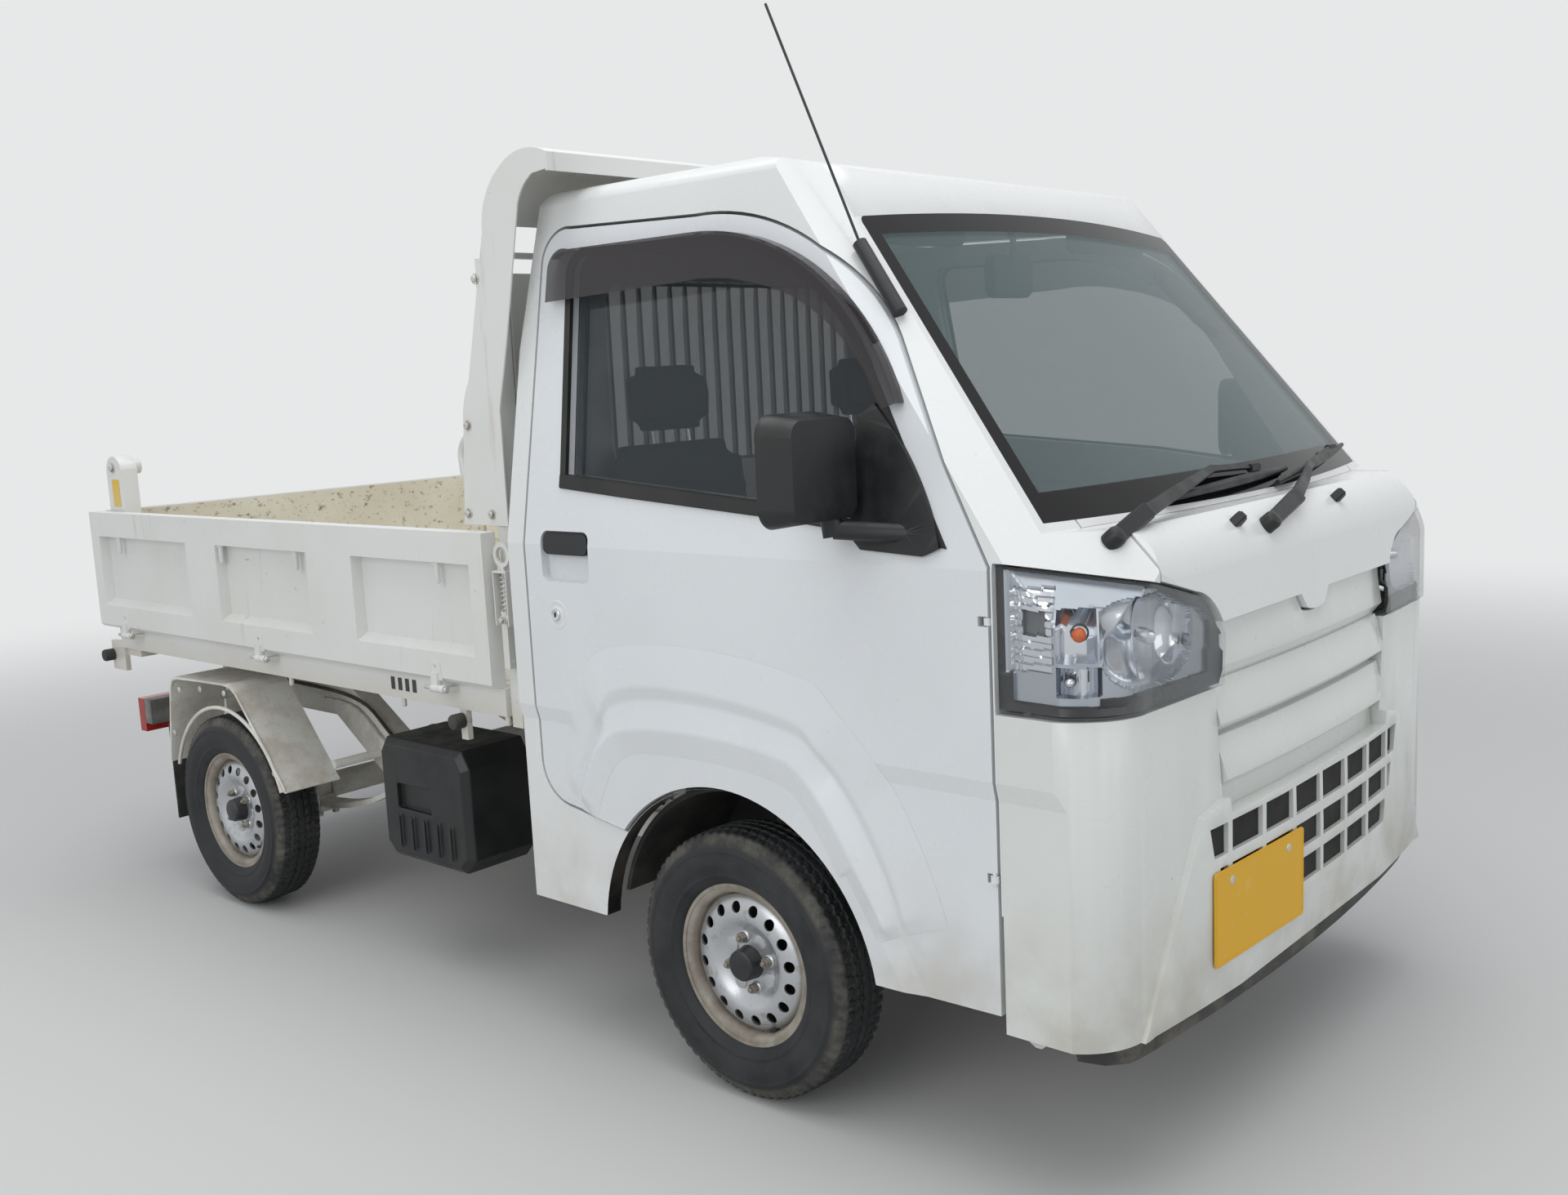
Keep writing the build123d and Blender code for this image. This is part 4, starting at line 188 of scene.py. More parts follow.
def body_paint(name, base, dust=0.5, wear=0.3):
    """White enamel with faint clouding, small chips, dust towards the sill, and painted shade inside the
    front wheel arch with a little brown grime.
    """
    p = Paint(name, base, 0.3, Coat_Weight=0.35, Coat_Roughness=0.12, Specular_IOR_Level=0.45)
    film = span(p.z, 0.62, 0.26) * p.blots(7, 6, 0.3, 0.72) * dust
    chips = p.blots(95, 3, 0.735, 0.76) * p.blots(5, 2, 0.42, 0.6)
    tone = mix(p.blots(2.4, 5, 0.35, 0.7) * 0.55, base, dimmed(base, 0.93))
    tone = mix(chips * wear, mix(film, tone, DUST), GRIME)
    # Painted shade: inside the front wheel arch the white is turned near-black, with a little brown grime
    # mixed in.
    house_shade = (from_axle(p, FRONT_AXLE) < ARCH_RADIUS) * ((abs(p.x) < 0.729) | (p.z < 0.3015))
    dark = mix(p.blots(14, 5, 0.4, 0.7), (0.016, 0.016, 0.015), (0.06, 0.054, 0.044))
    p.put(Base_Color=mix(house_shade, tone, dark), Roughness=film * 0.45 + p.blots(6, 3, 0.3, 0.8, 0.25, 0.33))


def bed_paint(name, base):
    """Working white enamel: scuffs and run-down rust outside, cream with dark scratches inside."""
    p = Paint(name, base, 0.42, Coat_Weight=0.12, Coat_Roughness=0.25)
    inside = (abs(p.x) < 0.7035) * (p.z > 0.7345) * (p.z < 1.071) * (p.y > -0.188) * (p.y < 1.612)
    scratches = p.blots(34, 6, 0.57, 0.66, stretch=(1, 0.16, 1.6), rough=0.72)
    marks = scratches | p.blots(70, 5, 0.6, 0.68, rough=0.75)
    cream = mix(p.blots(3.2, 6, 0.3, 0.7), (0.79, 0.765, 0.665), (0.67, 0.625, 0.5))
    cream = mix(marks * 0.75, cream, (0.1, 0.075, 0.05))
    clouded = tuple(c * share for c, share in zip(base, (0.93, 0.92, 0.89)))
    outside = mix(p.blots(3, 5, 0.35, 0.7) * 0.6, base, clouded)
    run = p.blots(26, 5, 0.6, 0.74, stretch=(1, 1, 0.1)) * p.blots(2.2, 2, 0.45, 0.62)
    outside = mix(run * 0.34, outside, (0.34, 0.22, 0.11))
    scuffs = p.blots(60, 4, 0.66, 0.72, stretch=(1, 0.35, 1), rough=0.7) * p.blots(3, 2, 0.45, 0.6)
    outside = mix(scuffs * 0.55, outside, GRIME)
    outside = mix(span(p.z, 0.735, 0.66) * 0.35, outside, (0.5, 0.42, 0.28))
    p.put(Base_Color=mix(inside, outside, cream))
    p.put(Roughness=inside * 0.22 + p.blots(12, 4, 0.3, 0.8, 0.34, 0.5))
    p.bump(marks * inside, 0.35, 0.001)


def stained(name, base, stain, amount=0.6, rough=0.55, metal=0.0, scale=9):
    """A dull painted or cast surface with blotches of a second colour and a fine grain."""
    p = Paint(name, base, rough, metal)
    tone = mix(p.blots(scale, 7, 0.42, 0.66, rough=0.65) * amount, base, stain)
    tone = mix(p.blots(90, 4, 0.6, 0.72) * (amount * 0.5), tone, dimmed(stain, 0.35))
    p.put(Base_Color=tone, Roughness=p.blots(scale * 2, 4, 0.3, 0.75, rough - 0.12, min(1, rough + 0.2)))
    p.bump(p.noise(130, 4), 0.25, 0.0008)


def plastic(name, base, rough=0.55, grain=420, dust=0.25):
    """Moulded plastic or rubber with a fine grain and a film of dust."""
    p = Paint(name, base, rough)
    p.put(Base_Color=mix(p.blots(8, 6, 0.4, 0.75) * dust, base, (0.2, 0.185, 0.155)))
    p.put(Roughness=p.blots(16, 4, 0.3, 0.8, rough - 0.1, rough + 0.15))
    p.bump(p.noise(grain, 2), 0.22, 0.0004)


def clear(name, tint, thin, thick, rough=0.02):
    """Sheet glass: see-through face on and mirror-like at a slant."""
    p = Paint(name, tint, rough, IOR=1.6)
    weight = p.tree.nodes.new("ShaderNodeLayerWeight")
    weight.inputs["Blend"].default_value = 0.45
    p.put(Alpha=span(Value(weight.outputs["Facing"]), 0.0, 1.0, thin, thick))
    p.put(Roughness=p.blots(22, 5, 0.45, 0.8, rough, rough + 0.05, stretch=(1, 1, 0.4)))
    return p


def bright(name, base, rough):
    """Plated or polished metal with light smears."""
    p = Paint(name, base, rough, 1.0)
    p.put(Roughness=p.blots(30, 4, 0.3, 0.8, rough, rough + 0.12))


# door_paint is a bluer and bumper_paint a darker copy of the cab's white: painted light on the sky-lit side
# and painted shade on the front, over one white paint. Their dust and wear amounts are their own.
body_paint("white_paint", (0.79, 0.8, 0.79))
body_paint("door_paint", (0.765, 0.79, 0.805), 0.55)
body_paint("bumper_paint", (0.73, 0.75, 0.72), 0.6, 0.6)
bed_paint("bed_paint", (0.76, 0.765, 0.745))
stained("frame_paint", (0.8, 0.79, 0.735), (0.47, 0.4, 0.3), 0.5)
stained("cast_metal", (0.085, 0.08, 0.075), (0.19, 0.165, 0.13), 0.7, 0.65, 0.3)
plastic("black_plastic", (0.0075, 0.0085, 0.01), 0.48, 420, 0.05)
plastic("dark_trim", (0.024, 0.025, 0.027), 0.55, 420, 0.1)
plastic("rubber_black", (0.03, 0.03, 0.029), 0.75, 200, 0.6)
stained("beam_grey", (0.23, 0.235, 0.225), (0.1, 0.085, 0.07), 0.7)
plastic("seat_cloth", (0.045, 0.047, 0.052), 0.85, 700, 0.2)
bright("lamp_chrome", (0.66, 0.69, 0.73), 0.06)
bright("rod_chrome", (0.6, 0.6, 0.6), 0.15)
stained("hoist_steel", (0.06, 0.06, 0.065), (0.16, 0.14, 0.11), 0.6, 0.5)
plastic("lamp_red", (0.42, 0.012, 0.012), 0.15, 60, 0.1)
clear("window_glass", (0.018, 0.03, 0.038), 0.38, 0.78)
clear("smoked_visor", (0.03, 0.024, 0.027), 0.55, 0.86, 0.06)
clear("lamp_clear", (0.35, 0.37, 0.38), 0.02, 0.42, 0.01)

# The windscreen, with its dark printed border; its pale green-grey colour is the glass's green tint with a
# painted reflection of pale surroundings
SCREEN_TINT_AND_REFLECTION = (0.13, 0.19, 0.195)
g = clear("screen_glass", SCREEN_TINT_AND_REFLECTION, 0.1, 0.6)
half_width = 0.648 - (g.z - 1.126) * 0.1653
top = 1.66 - g.x * g.x * 0.06
border = ((half_width - abs(g.x)) < 0.03) | ((top - g.z) < 0.034) | ((g.z - 1.122) < 0.048)
g.put(Alpha=Value(g.shader.inputs["Alpha"].links[0].from_socket) | border)
g.put(Base_Color=mix(border, SCREEN_TINT_AND_REFLECTION, (0.006, 0.006, 0.007)))
g.put(Specular_IOR_Level=span(border, 0, 1, 0.5, 0.16))

# Each wheel's place, and the angle it stands at
WHEELS = {
    "front_right": (-0.6525, FRONT_AXLE, 31),
    "front_left": (0.6525, FRONT_AXLE, -12),
    "rear_right": (-0.65, REAR_AXLE, 8),
    "rear_left": (0.65, REAR_AXLE, 50),
}


def wheel_looks(tag, y):
    """Silver steel and dusty rubber for one axle."""
    silver = (0.53, 0.545, 0.565)
    p = Paint("wheel_silver_" + tag, silver, 0.34, 0.7)
    dish = span(from_axle(p, y), 0.1275, 0.1345)
    dirt = mix(p.blots(20, 6, 0.35, 0.65), (0.36, 0.325, 0.265), (0.22, 0.185, 0.14))
    spotted = mix(p.blots(55, 5, 0.56, 0.68) * 0.4, silver, (0.26, 0.23, 0.19))
    p.put(Base_Color=mix(dish * 0.92, spotted, dirt), Metallic=span(dish, 0, 1, 0.7, 0.15))
    p.put(Roughness=dish * 0.25 + p.blots(18, 4, 0.3, 0.8, 0.26, 0.42))
    p.bump(p.noise(160, 3), 0.12, 0.0006)
    p = Paint("tyre_rubber_" + tag, (0.02, 0.021, 0.023), 0.8)
    reach = from_axle(p, y)
    film = p.blots(10, 8, 0.36, 0.66, rough=0.7)
    tone = mix(film, (0.006, 0.0075, 0.009), (0.034, 0.036, 0.037))
    shoulder = span(reach, 0.233, 0.243) * span(reach, 0.2605, 0.2565)
    shoulder = shoulder * p.blots(15, 8, 0.36, 0.68, 0.05, 0.6, rough=0.7)
    p.put(Base_Color=mix(shoulder, tone, (0.17, 0.158, 0.128)), Roughness=span(film, 0, 1, 0.6, 0.85))
    p.bump(p.noise(240, 3), 0.25, 0.0006)


wheel_looks("front", FRONT_AXLE)
wheel_looks("rear", REAR_AXLE)


def dress(name, material):
    mesh = nodes[name].data
    mesh.materials.clear()
    mesh.materials.append(look[material])


for entry in frame["record"]["subparts"]:
    if entry["material_slot"] in look:
        dress(entry["node"], entry["material_slot"])
for place in WHEELS:
    axle = place.split("_")[0]
    dress("tyre_" + place, "tyre_rubber_" + axle)
    dress("rim_" + place, "wheel_silver_" + axle)
dress("windscreen", "screen_glass")
plastic("floor_rubber", (0.016, 0.016, 0.016), 0.85, 160, 0.35)
dress("floor_pan", "floor_rubber")
YELLOW = (0.78, 0.43, 0.012)
plate = Paint("plate_yellow", YELLOW, 0.5)
plate.put(Base_Color=mix(plate.blots(40, 5, 0.6, 0.75) * 0.3, YELLOW, (0.78, 0.58, 0.22)))
dress("number_plates", "plate_yellow")

# Looks of the fitted pieces
stained("nut_steel", (0.3, 0.28, 0.24), (0.16, 0.12, 0.08), 0.6, 0.45, 0.5, 40)
stained("bolt_steel", (0.62, 0.62, 0.6), (0.35, 0.29, 0.2), 0.55, 0.4, 0.6, 60)
plastic("cap_black", (0.014, 0.016, 0.019), 0.5, 260, 0.3)
plastic("handle_black", (0.008, 0.009, 0.011), 0.42, 500, 0.05)
plastic("rubber_trim", (0.008, 0.0085, 0.009), 0.55, 300, 0.08)
plastic("lamp_rim", (0.016, 0.016, 0.018), 0.35, 200, 0.08)
plastic("lamp_dark", (0.16, 0.17, 0.18), 0.25, 200, 0.05)
bright("lamp_pane", (0.44, 0.475, 0.52), 0.28)
plastic("bulb_amber", (0.72, 0.13, 0.01), 0.12, 50, 0.0)
bright("mirror_glass", (0.72, 0.74, 0.76), 0.03)
# Near-black painted shade: the brake drum seen through the rim holes, and the sheet behind the intake bars.
plastic("drum_black", (0.006, 0.006, 0.006), 0.8, 200, 0.04)
stained("valance_grey", (0.035, 0.035, 0.034), (0.15, 0.14, 0.115), 0.85, 0.7, 0, 14)
stained("label_yellow", (0.78, 0.5, 0.03), (0.7, 0.62, 0.4), 0.5, 0.4)
plastic("tail_red", (0.46, 0.012, 0.012), 0.12, 60, 0.12)
plastic("tail_amber", (0.8, 0.22, 0.01), 0.12, 60, 0.12)
plastic("tail_clear", (0.7, 0.7, 0.68), 0.12, 60, 0.15)

# Mesh pieces
RIGHT, LEFT, DOWN = (-1, 0, 0), (1, 0, 0), (0, 0, -1)


def mm(*numbers):
    """Points in metres from pairs of numbers in millimetres."""
    return [(a / 1000, b / 1000) for a, b in zip(numbers[::2], numbers[1::2])]


def circle(centre, across, other, radius, sides):
    angles = [2 * pi * k / sides for k in range(sides)]
    return [centre + (across * cos(angle) + other * sin(angle)) * radius for angle in angles]


def heading(path, i):
    """The direction of a path at one of its points."""
    return (Vector(path[min(i + 1, len(path) - 1)]) - Vector(path[max(i - 1, 0)])).normalized()


def bevel_edges(part, width, segments=2):
    bmesh.ops.bevel(
        part, geom=part.edges[:], offset=width, segments=segments, affect="EDGES", clamp_overlap=True
    )


def block(low, high, bevel, segments=2):
    """A rounded block between two corners."""
    low, high = Vector(low), Vector(high)
    middle, size = (low + high) / 2, high - low
    part = bmesh.new()
    bmesh.ops.create_cube(part, size=1)
    for v in part.verts:
        v.co = Vector((v.co[i] * size[i] for i in range(3))) + middle
    if bevel:
        bevel_edges(part, min(bevel, min(size) * 0.45), segments)
    return part


class Kit:
    """Collects solids in one mesh, with a material for each, and rides it on a body."""

    def __init__(self, *looks):
        self.mesh = bmesh.new()
        self.looks = looks

    def shape(self, points, polygons, number=0):
        """number is the material of all polygons, or a list with one for each."""
        numbers = number if isinstance(number, list) else [number] * len(polygons)
        corners = [self.mesh.verts.new(p) for p in points]
        for polygon, index in zip(polygons, numbers):
            face = self.mesh.faces.new([corners[i] for i in polygon])
            face.material_index = index
            face.smooth = True

    def take(self, part, number=0):
        part.verts.index_update()
        polygons = [[v.index for v in face.verts] for face in part.faces]
        self.shape([v.co for v in part.verts], polygons, number)
        part.free()

    def box(self, low, high, number=0, bevel=0.0015):
        self.take(block(low, high, bevel), number)

    def loft(self, rings, number=0, closed=False):
        """Joins rings of points; it is closed from the last to the first, or has caps on both."""
        count, total = len(rings[0]), len(rings)
        polygons = []
        for i in range(total if closed else total - 1):
            here, there = i * count, (i + 1) % total * count
            for k in range(count):
                n = (k + 1) % count
                polygons.append((here + k, here + n, there + n, there + k))
        if not closed:
            polygons += [range(count)[::-1], range((total - 1) * count, total * count)]
        self.shape([p for ring in rings for p in ring], polygons, number)

    def tube(self, path, radius, number=0, sides=14):
        path = [Vector(p) for p in path]
        radii = radius if isinstance(radius, list) else [radius] * len(path)
        across = (path[1] - path[0]).normalized().orthogonal().normalized()
        rings = []
        for i, here in enumerate(path):
            forward = heading(path, i)
            across = (across - forward * across.dot(forward)).normalized()
            rings.append(circle(here, across, forward.cross(across), radii[i], sides))
        self.loft(rings, number)

    def lathe(self, origin, axis, profile, number=0, sides=32):
        """profile holds (distance along the axis, radius) pairs; a radius of 0 closes the end."""
        axis = Vector(axis).normalized()
        across = axis.orthogonal().normalized()
        points, rings = [], []
        for along, radius in profile:
            centre = Vector(origin) + axis * along
            ring = circle(centre, across, axis.cross(across), radius, sides if radius else 1)
            rings.append(range(len(points), len(points) + len(ring)))
            points += ring
        polygons = []
        for low, high in zip(rings, rings[1:]):
            for k in range(sides):
                a, b = low[k % len(low)], low[(k + 1) % len(low)]
                c, d = high[(k + 1) % len(high)], high[k % len(high)]
                polygons.append(tuple(dict.fromkeys((a, b, c, d))))
        self.shape(points, [polygon for polygon in polygons if len(polygon) > 2], number)

    def slab(self, outline, place, number=0, bevel=0.0):
        """outline holds flat (a, b) points; place(a, b, depth) gives the point in space, depth 0 or 1."""
        rough = Kit()
        rough.loft([[place(a, b, depth) for a, b in outline] for depth in (0, 1)])
        part = rough.mesh
        bmesh.ops.recalc_face_normals(part, faces=part.faces[:])
        if bevel:
            bevel_edges(part, bevel)
        bmesh.ops.triangulate(part, faces=[f for f in part.faces if len(f.verts) > 4])
        self.take(part, number)

    def ring(self, outer, inner, place, number=0):
        """A flat frame between two outlines with the same number of points."""
        sections = (outer, 0), (inner, 0), (inner, 1), (outer, 1)
        self.loft([[place(a, b, depth) for a, b in outline] for outline, depth in sections], number, True)

    def strip(self, path, section, number=0):
        """A closed section of (distance behind the path, height) points, run along a flat path."""
        rings = []
        for i, (x, y) in enumerate(path):
            way = heading(path, i)
            rings.append([(x - way.y * behind, y + way.x * behind, height) for behind, height in section])
        self.loft(rings, number)

    def done(self, name, body, crease=35, mirror=False):
        """Makes the piece; mirror adds its image on the left. Gives back the first."""
        pieces = []
        for side in (1, -1) if mirror else (1,):
            title, rider = (text.replace("right", "left") if side < 0 else text for text in (name, body))
            data = bpy.data.meshes.new(title)
            part = self.mesh.copy()
            for v in part.verts:
                v.co.x *= side
            bmesh.ops.recalc_face_normals(part, faces=part.faces[:])
            part.to_mesh(data)
            part.free()
            data.set_sharp_from_angle(angle=radians(crease))
            for material in self.looks:
                data.materials.append(look[material])
            piece = add(title, data)
            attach(piece, rider)
            pieces.append(piece)
        self.mesh.free()
        return pieces[0]


def rounded(a_low, a_high, b_low, b_high, radius, steps=5):
    """Points of a rectangle with rounded corners."""
    a_in, a_out, b_in, b_out = a_low + radius, a_high - radius, b_low + radius, b_high - radius
    points = []
    for a, b, start in ((a_out, b_out, 0), (a_in, b_out, 90), (a_in, b_in, 180), (a_out, b_in, 270)):
        for k in range(steps + 1):
            angle = radians(start + 90 * k / steps)
            points.append((a + radius * cos(angle), b + radius * sin(angle)))
    return points


def grown(outline, amount):
    """A closed outline moved outwards by amount, corner by corner."""
    count = len(outline)
    area = sum(a[0] * b[1] - b[0] * a[1] for a, b in zip(outline, outline[1:] + outline[:1]))
    sign = 1 if area > 0 else -1
    moved = []
    for k in range(count):
        p, q, r = (Vector(outline[(k + d) % count]) for d in (-1, 0, 1))
        first, second = (q - p).normalized(), (r - q).normalized()
        n1, n2 = Vector((first.y, -first.x)) * sign, Vector((second.y, -second.x)) * sign
        n = (n1 + n2).normalized()
        reach = amount / max(0.5, n.dot(n1))
        moved.append((q.x + n.x * reach, q.y + n.y * reach))
    return moved


def smooth_path(points, steps=6):
    """More points between the given ones, for bent bars and pipes."""
    points = [Vector(p) for p in points]
    last = len(points) - 1
    result = []
    for i in range(last):
        a, b, c, d = (points[min(max(i + k, 0), last)] for k in (-1, 0, 1, 2))
        for k in range(steps):
            t = k / steps
            curve = 2 * b + (c - a) * t + (2 * a - 5 * b + 4 * c - d) * t**2
            result.append(0.5 * (curve + (3 * b - a - 3 * c + d) * t**3))
    return result + [points[-1]]


def arc_through(a, m, b, steps):
    """Points of the circular arc from a through m to b, in a plane of two axes."""
    (ax, ay), (mx, my), (bx, by) = a, m, b
    d = 2 * (ax * (my - by) + mx * (by - ay) + bx * (ay - my))
    sa, sm, sb = ax**2 + ay**2, mx**2 + my**2, bx**2 + by**2
    ux = (sa * (my - by) + sm * (by - ay) + sb * (ay - my)) / d
    uy = (sa * (bx - mx) + sm * (ax - bx) + sb * (mx - ax)) / d
    radius = hypot(ax - ux, ay - uy)
    first, middle, last = (atan2(y - uy, x - ux) for x, y in (a, m, b))
    sweep = (last - first) % (2 * pi)
    if (middle - first) % (2 * pi) > sweep:
        sweep -= 2 * pi
    angles = [first + sweep * k / steps for k in range(steps + 1)]
    return [(ux + radius * cos(angle), uy + radius * sin(angle)) for angle in angles]


# The door's outer face on the driver's side: upright to the belt, then leaning in
SIDE_X, BELT_Z, SIDE_LEAN = -0.7375, 1.06, 0.177


def side_x(z, lift=0.0):
    return SIDE_X + max(0.0, z - BELT_Z) * SIDE_LEAN - lift


def on_side(low, high):
    return lambda y, z, depth: Vector((side_x(z, high if depth else low), y, z))


def flat(axis, low, high):
    """place(a, b, depth) for a plane across an axis: x is 0 and y is 1."""

    def place(a, b, depth):
        point = [a, b]
        point.insert(axis, high if depth else low)
        return Vector(point)

    return place


def apply_all(piece):
    """Bakes the piece's modifiers into its mesh."""
    graph = bpy.context.evaluated_depsgraph_get()
    mesh = bpy.data.meshes.new_from_object(piece.evaluated_get(graph))
    piece.modifiers.clear()
    piece.data = mesh


# Wheels: (distance out, radius) from the middle of the tyre. First the tyre's wall, bead to shoulder
TYRE_WALL = mm(
    -50, 160, -56, 166, -60, 172, -62.5, 176.5, -64, 177.5, -64.7, 179.5, -64, 181.2, -66, 187, -70, 198,
    -71.2, 207, -70.8, 219, -70, 225, -70.8, 226.2, -70.6, 228.2, -69, 229.5, -66.5, 236, -64.5, 239.5,
    -63.5, 240.5, -61, 247, -56, 255.5, -51.5, 260,
)
CROWN_RADIUS, TURNS, GROOVES = 0.2635, 504, (-0.031, -0.0105, 0.0105, 0.031)
# The pressed rim, from the hub round the barrel and back, and its holes
RIM_PROFILE = mm(
    27, 0, 27, 30, 27, 60, 28.5, 65, 32.5, 72.5, 37.5, 80, 41, 87, 42.6, 93.5, 42.6, 100, 41.4, 108,
    39.2, 116, 35.8, 123.5, 31.2, 130, 25.5, 134.5, 20, 136.2, 20, 138.5, 30, 139.3, 40, 140.8, 43.8, 144,
    46.2, 150, 47.8, 157, 49.8, 162.8, 52.4, 166, 54.8, 167.2, 55, 168, 53.5, 168.4, 51.2, 167, 49.8, 160,
    49, 153, -49, 153, -51, 160, -53, 166, -55, 168, -54, 165.5, -50, 158, -46.5, 148, -42, 142, 12, 138.5,
    16, 136, 22, 132.5, 27.5, 128, 32.2, 121.5, 35.4, 114, 37.8, 107, 39.2, 100, 39.2, 94, 37.8, 88.5,
    34, 81.5, 29, 74, 25, 66, 23.6, 60, 23.6, 0,
)
RIM_HOLES, HOLE_REACH, HOLE_RADIUS = 16, 0.1115, 0.0112


def tread_depth(along, angle, pitch):
    """Waved grooves, cut shoulders and short cuts in the ribs."""
    wave = 0.0016 * sin(angle * 72)
    if any(abs(along - centre - wave) < 0.0034 for centre in GROOVES):
        return 0.0062
    if abs(along) > 0.037 and pitch < 0.3:
        return 0.0042
    if abs(pitch - 0.5) < 0.16 and abs(abs(along) - 0.0205) < 0.0055:
        return 0.003
    return 0.0


def wheel(place, x, y, spin):
    axle, body = place.split("_")[0], "wheel_" + place
    rubber, steel = "tyre_rubber_" + axle, "wheel_silver_" + axle
    out = -1 if x < 0 else 1
    outward = (out, 0, 0)

    def at(along, radius, angle):
        return Vector((x + out * along, y + radius * cos(angle), WHEEL_Z + radius * sin(angle)))

    steps = [(2 * pi * k / TURNS, k % 7 / 7) for k in range(TURNS)]
    wall, crown = [], []
    for a, r in TYRE_WALL:
        wall.append((a, [r - 0.0032 if r > 0.243 and pitch < 0.3 else r for _, pitch in steps]))
    for k in range(41):
        a = -0.05 + 0.1 * k / 40
        r = CROWN_RADIUS - 0.0022 * (a / 0.05) ** 2
        crown.append((a, [r - tread_depth(a, angle, pitch) for angle, pitch in steps]))
    rings = []
    for a, radii in wall + crown + [(-a, radii) for a, radii in wall[::-1]]:
        rings.append([at(a, r, angle) for r, (angle, _) in zip(radii, steps)])
    tread = Kit(rubber)
    tread.loft(rings, closed=True)
    piece = tread.done("tyre_tread_" + place, body, 50)
    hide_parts("tyre_" + place)

    rim_kit, cutter = Kit(steel), Kit(steel)
    rim_kit.lathe((x, y, WHEEL_Z), outward, RIM_PROFILE, 0, 160)
    rim = rim_kit.done("pressed_rim_" + place, body, 32)
    for k in range(RIM_HOLES):
        centre = at(0.012, HOLE_REACH, radians(spin + 360 * (k + 0.2) / RIM_HOLES))
        cutter.lathe(centre, outward, [(0, 0), (0, HOLE_RADIUS), (0.045, HOLE_RADIUS), (0.045, 0)], 0, 28)
    drill = cutter.done("drill", body)
    holes = rim.modifiers.new("holes", "BOOLEAN")
    holes.operation = "DIFFERENCE"
    holes.solver = "EXACT"
    holes.object = drill
    apply_all(rim)
    rim.data.set_sharp_from_angle(angle=radians(32))
    drill_data = drill.data
    bpy.data.objects.remove(drill)
    bpy.data.meshes.remove(drill_data)
    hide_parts("rim_" + place)

    # Brake drum in near-black painted shade behind the rim holes, nuts on their bosses, raised spokes
    # between them, cap and valve
    kit = Kit("nut_steel", "cap_black", steel, "rubber_black", "drum_black")
    kit.lathe(at(0, 0, 0), outward, mm(4, 47, 8.5, 50, 8.5, 130, 4, 134, 2, 130, 2, 50, 4, 47), 4, 48)
    nut = mm(0, 10.2, 13, 10.2, 15.5, 8.5, 15.5, 5.5, 19, 5.2, 20.5, 3.5, 20.5, 0)
    for k in range(4):
        angle, raised = radians(45 + spin + 90 * k), radians(spin + 90 * k)
        kit.lathe(at(0.0265, 0.05, angle), outward, mm(0, 12.5, 2, 12.5, 4, 10), 2, 24)
        kit.lathe(at(0.027, 0.05, angle), outward, nut, 0, 6)
        kit.lathe(at(0.04, 0.05, angle), outward, mm(0, 5.2, 7.5, 5, 9, 3.6, 9, 0), 0, 14)
        kit.lathe(at(0.0262, 0.052, raised), outward, mm(0, 16, 3, 14.5, 3.6, 11, 3.6, 0), 2, 24)
    kit.lathe(at(0.026, 0, 0), outward, mm(0, 33.5, 4, 32.5, 28.5, 30, 32.5, 26.5, 34, 18, 34.5, 0), 1, 40)
    valve = radians(214 + spin)
    path = [at(0.02, 0.1345, valve), at(0.036, 0.1335, valve), at(0.046, 0.131, valve)]
    kit.tube(path, [0.0048, 0.0045, 0.0036], 3, 12)
    kit.done("wheel_fittings_" + place, body)


for place, (x, y, spin) in WHEELS.items():
    wheel(place, x, y, spin)


# Headlamp interiors, laid just behind the cover and found from the middle of its fan
def surface(name):
    mesh = nodes[name].data
    return BVHTree.FromPolygons([v.co for v in mesh.vertices], [tuple(p.vertices) for p in mesh.polygons])


lens = surface("headlamp_lenses")
FAN_X, FAN_Y = -0.36, -1.42


def lens_hit(theta, z):
    way = Vector((-sin(theta), -cos(theta), 0))
    return lens.ray_cast(Vector((FAN_X, FAN_Y, z)), way, 0.5)[0], way


def lamp_zone(theta, z, edge):
    """Depth behind the cover and material number: 0 dark rim, 1 chrome, 2 pane, 3 dark pane."""
    turned = degrees(theta)
    x = lens_hit(theta, z)[0].x
    rim = 0.008 + 0.01 * max(0.0, min(1.0, (45 - turned) / 20)) + (0.006 if z < 0.9 else 0.0)
    if edge < rim:
        return 0.002 + 0.004 * (edge / rim), 0
    reach = (abs(x + 0.572) / 0.12) ** 2.8 + (abs(z - 0.939) / 0.074) ** 2.4
    if reach < 1 and turned < 57.5:
        return 0.012 + 0.07 * (1 - reach) ** 0.5, 1
    if turned < 57.5 and 0.85 < z < 0.862:
        return 0.004, 0
    if 58.5 < turned < 67.5 and 0.922 < z < 1.0:
        return 0.052, 1
    if 57.8 < turned < 67.5 and 0.868 < z < 0.912:
        return 0.024 + 0.004 * sin(turned * 6.0), 1
    if 70.2 < turned < 76.0 and 0.962 < z < 0.998:
        return 0.022, 3
    if 68.2 < turned < 78.6 and 0.905 < z < 1.034:
        step = int((z - 0.905) / 0.0115) % 2
        comb = int(turned * 2.5) % 2 if turned > 76.5 else 0
        return 0.01 + 0.005 * step + 0.003 * comb, 1
    if turned >= 78.6:
        return 0.006, 2
    return (0.01 if z > 1.0 else 0.012), 2


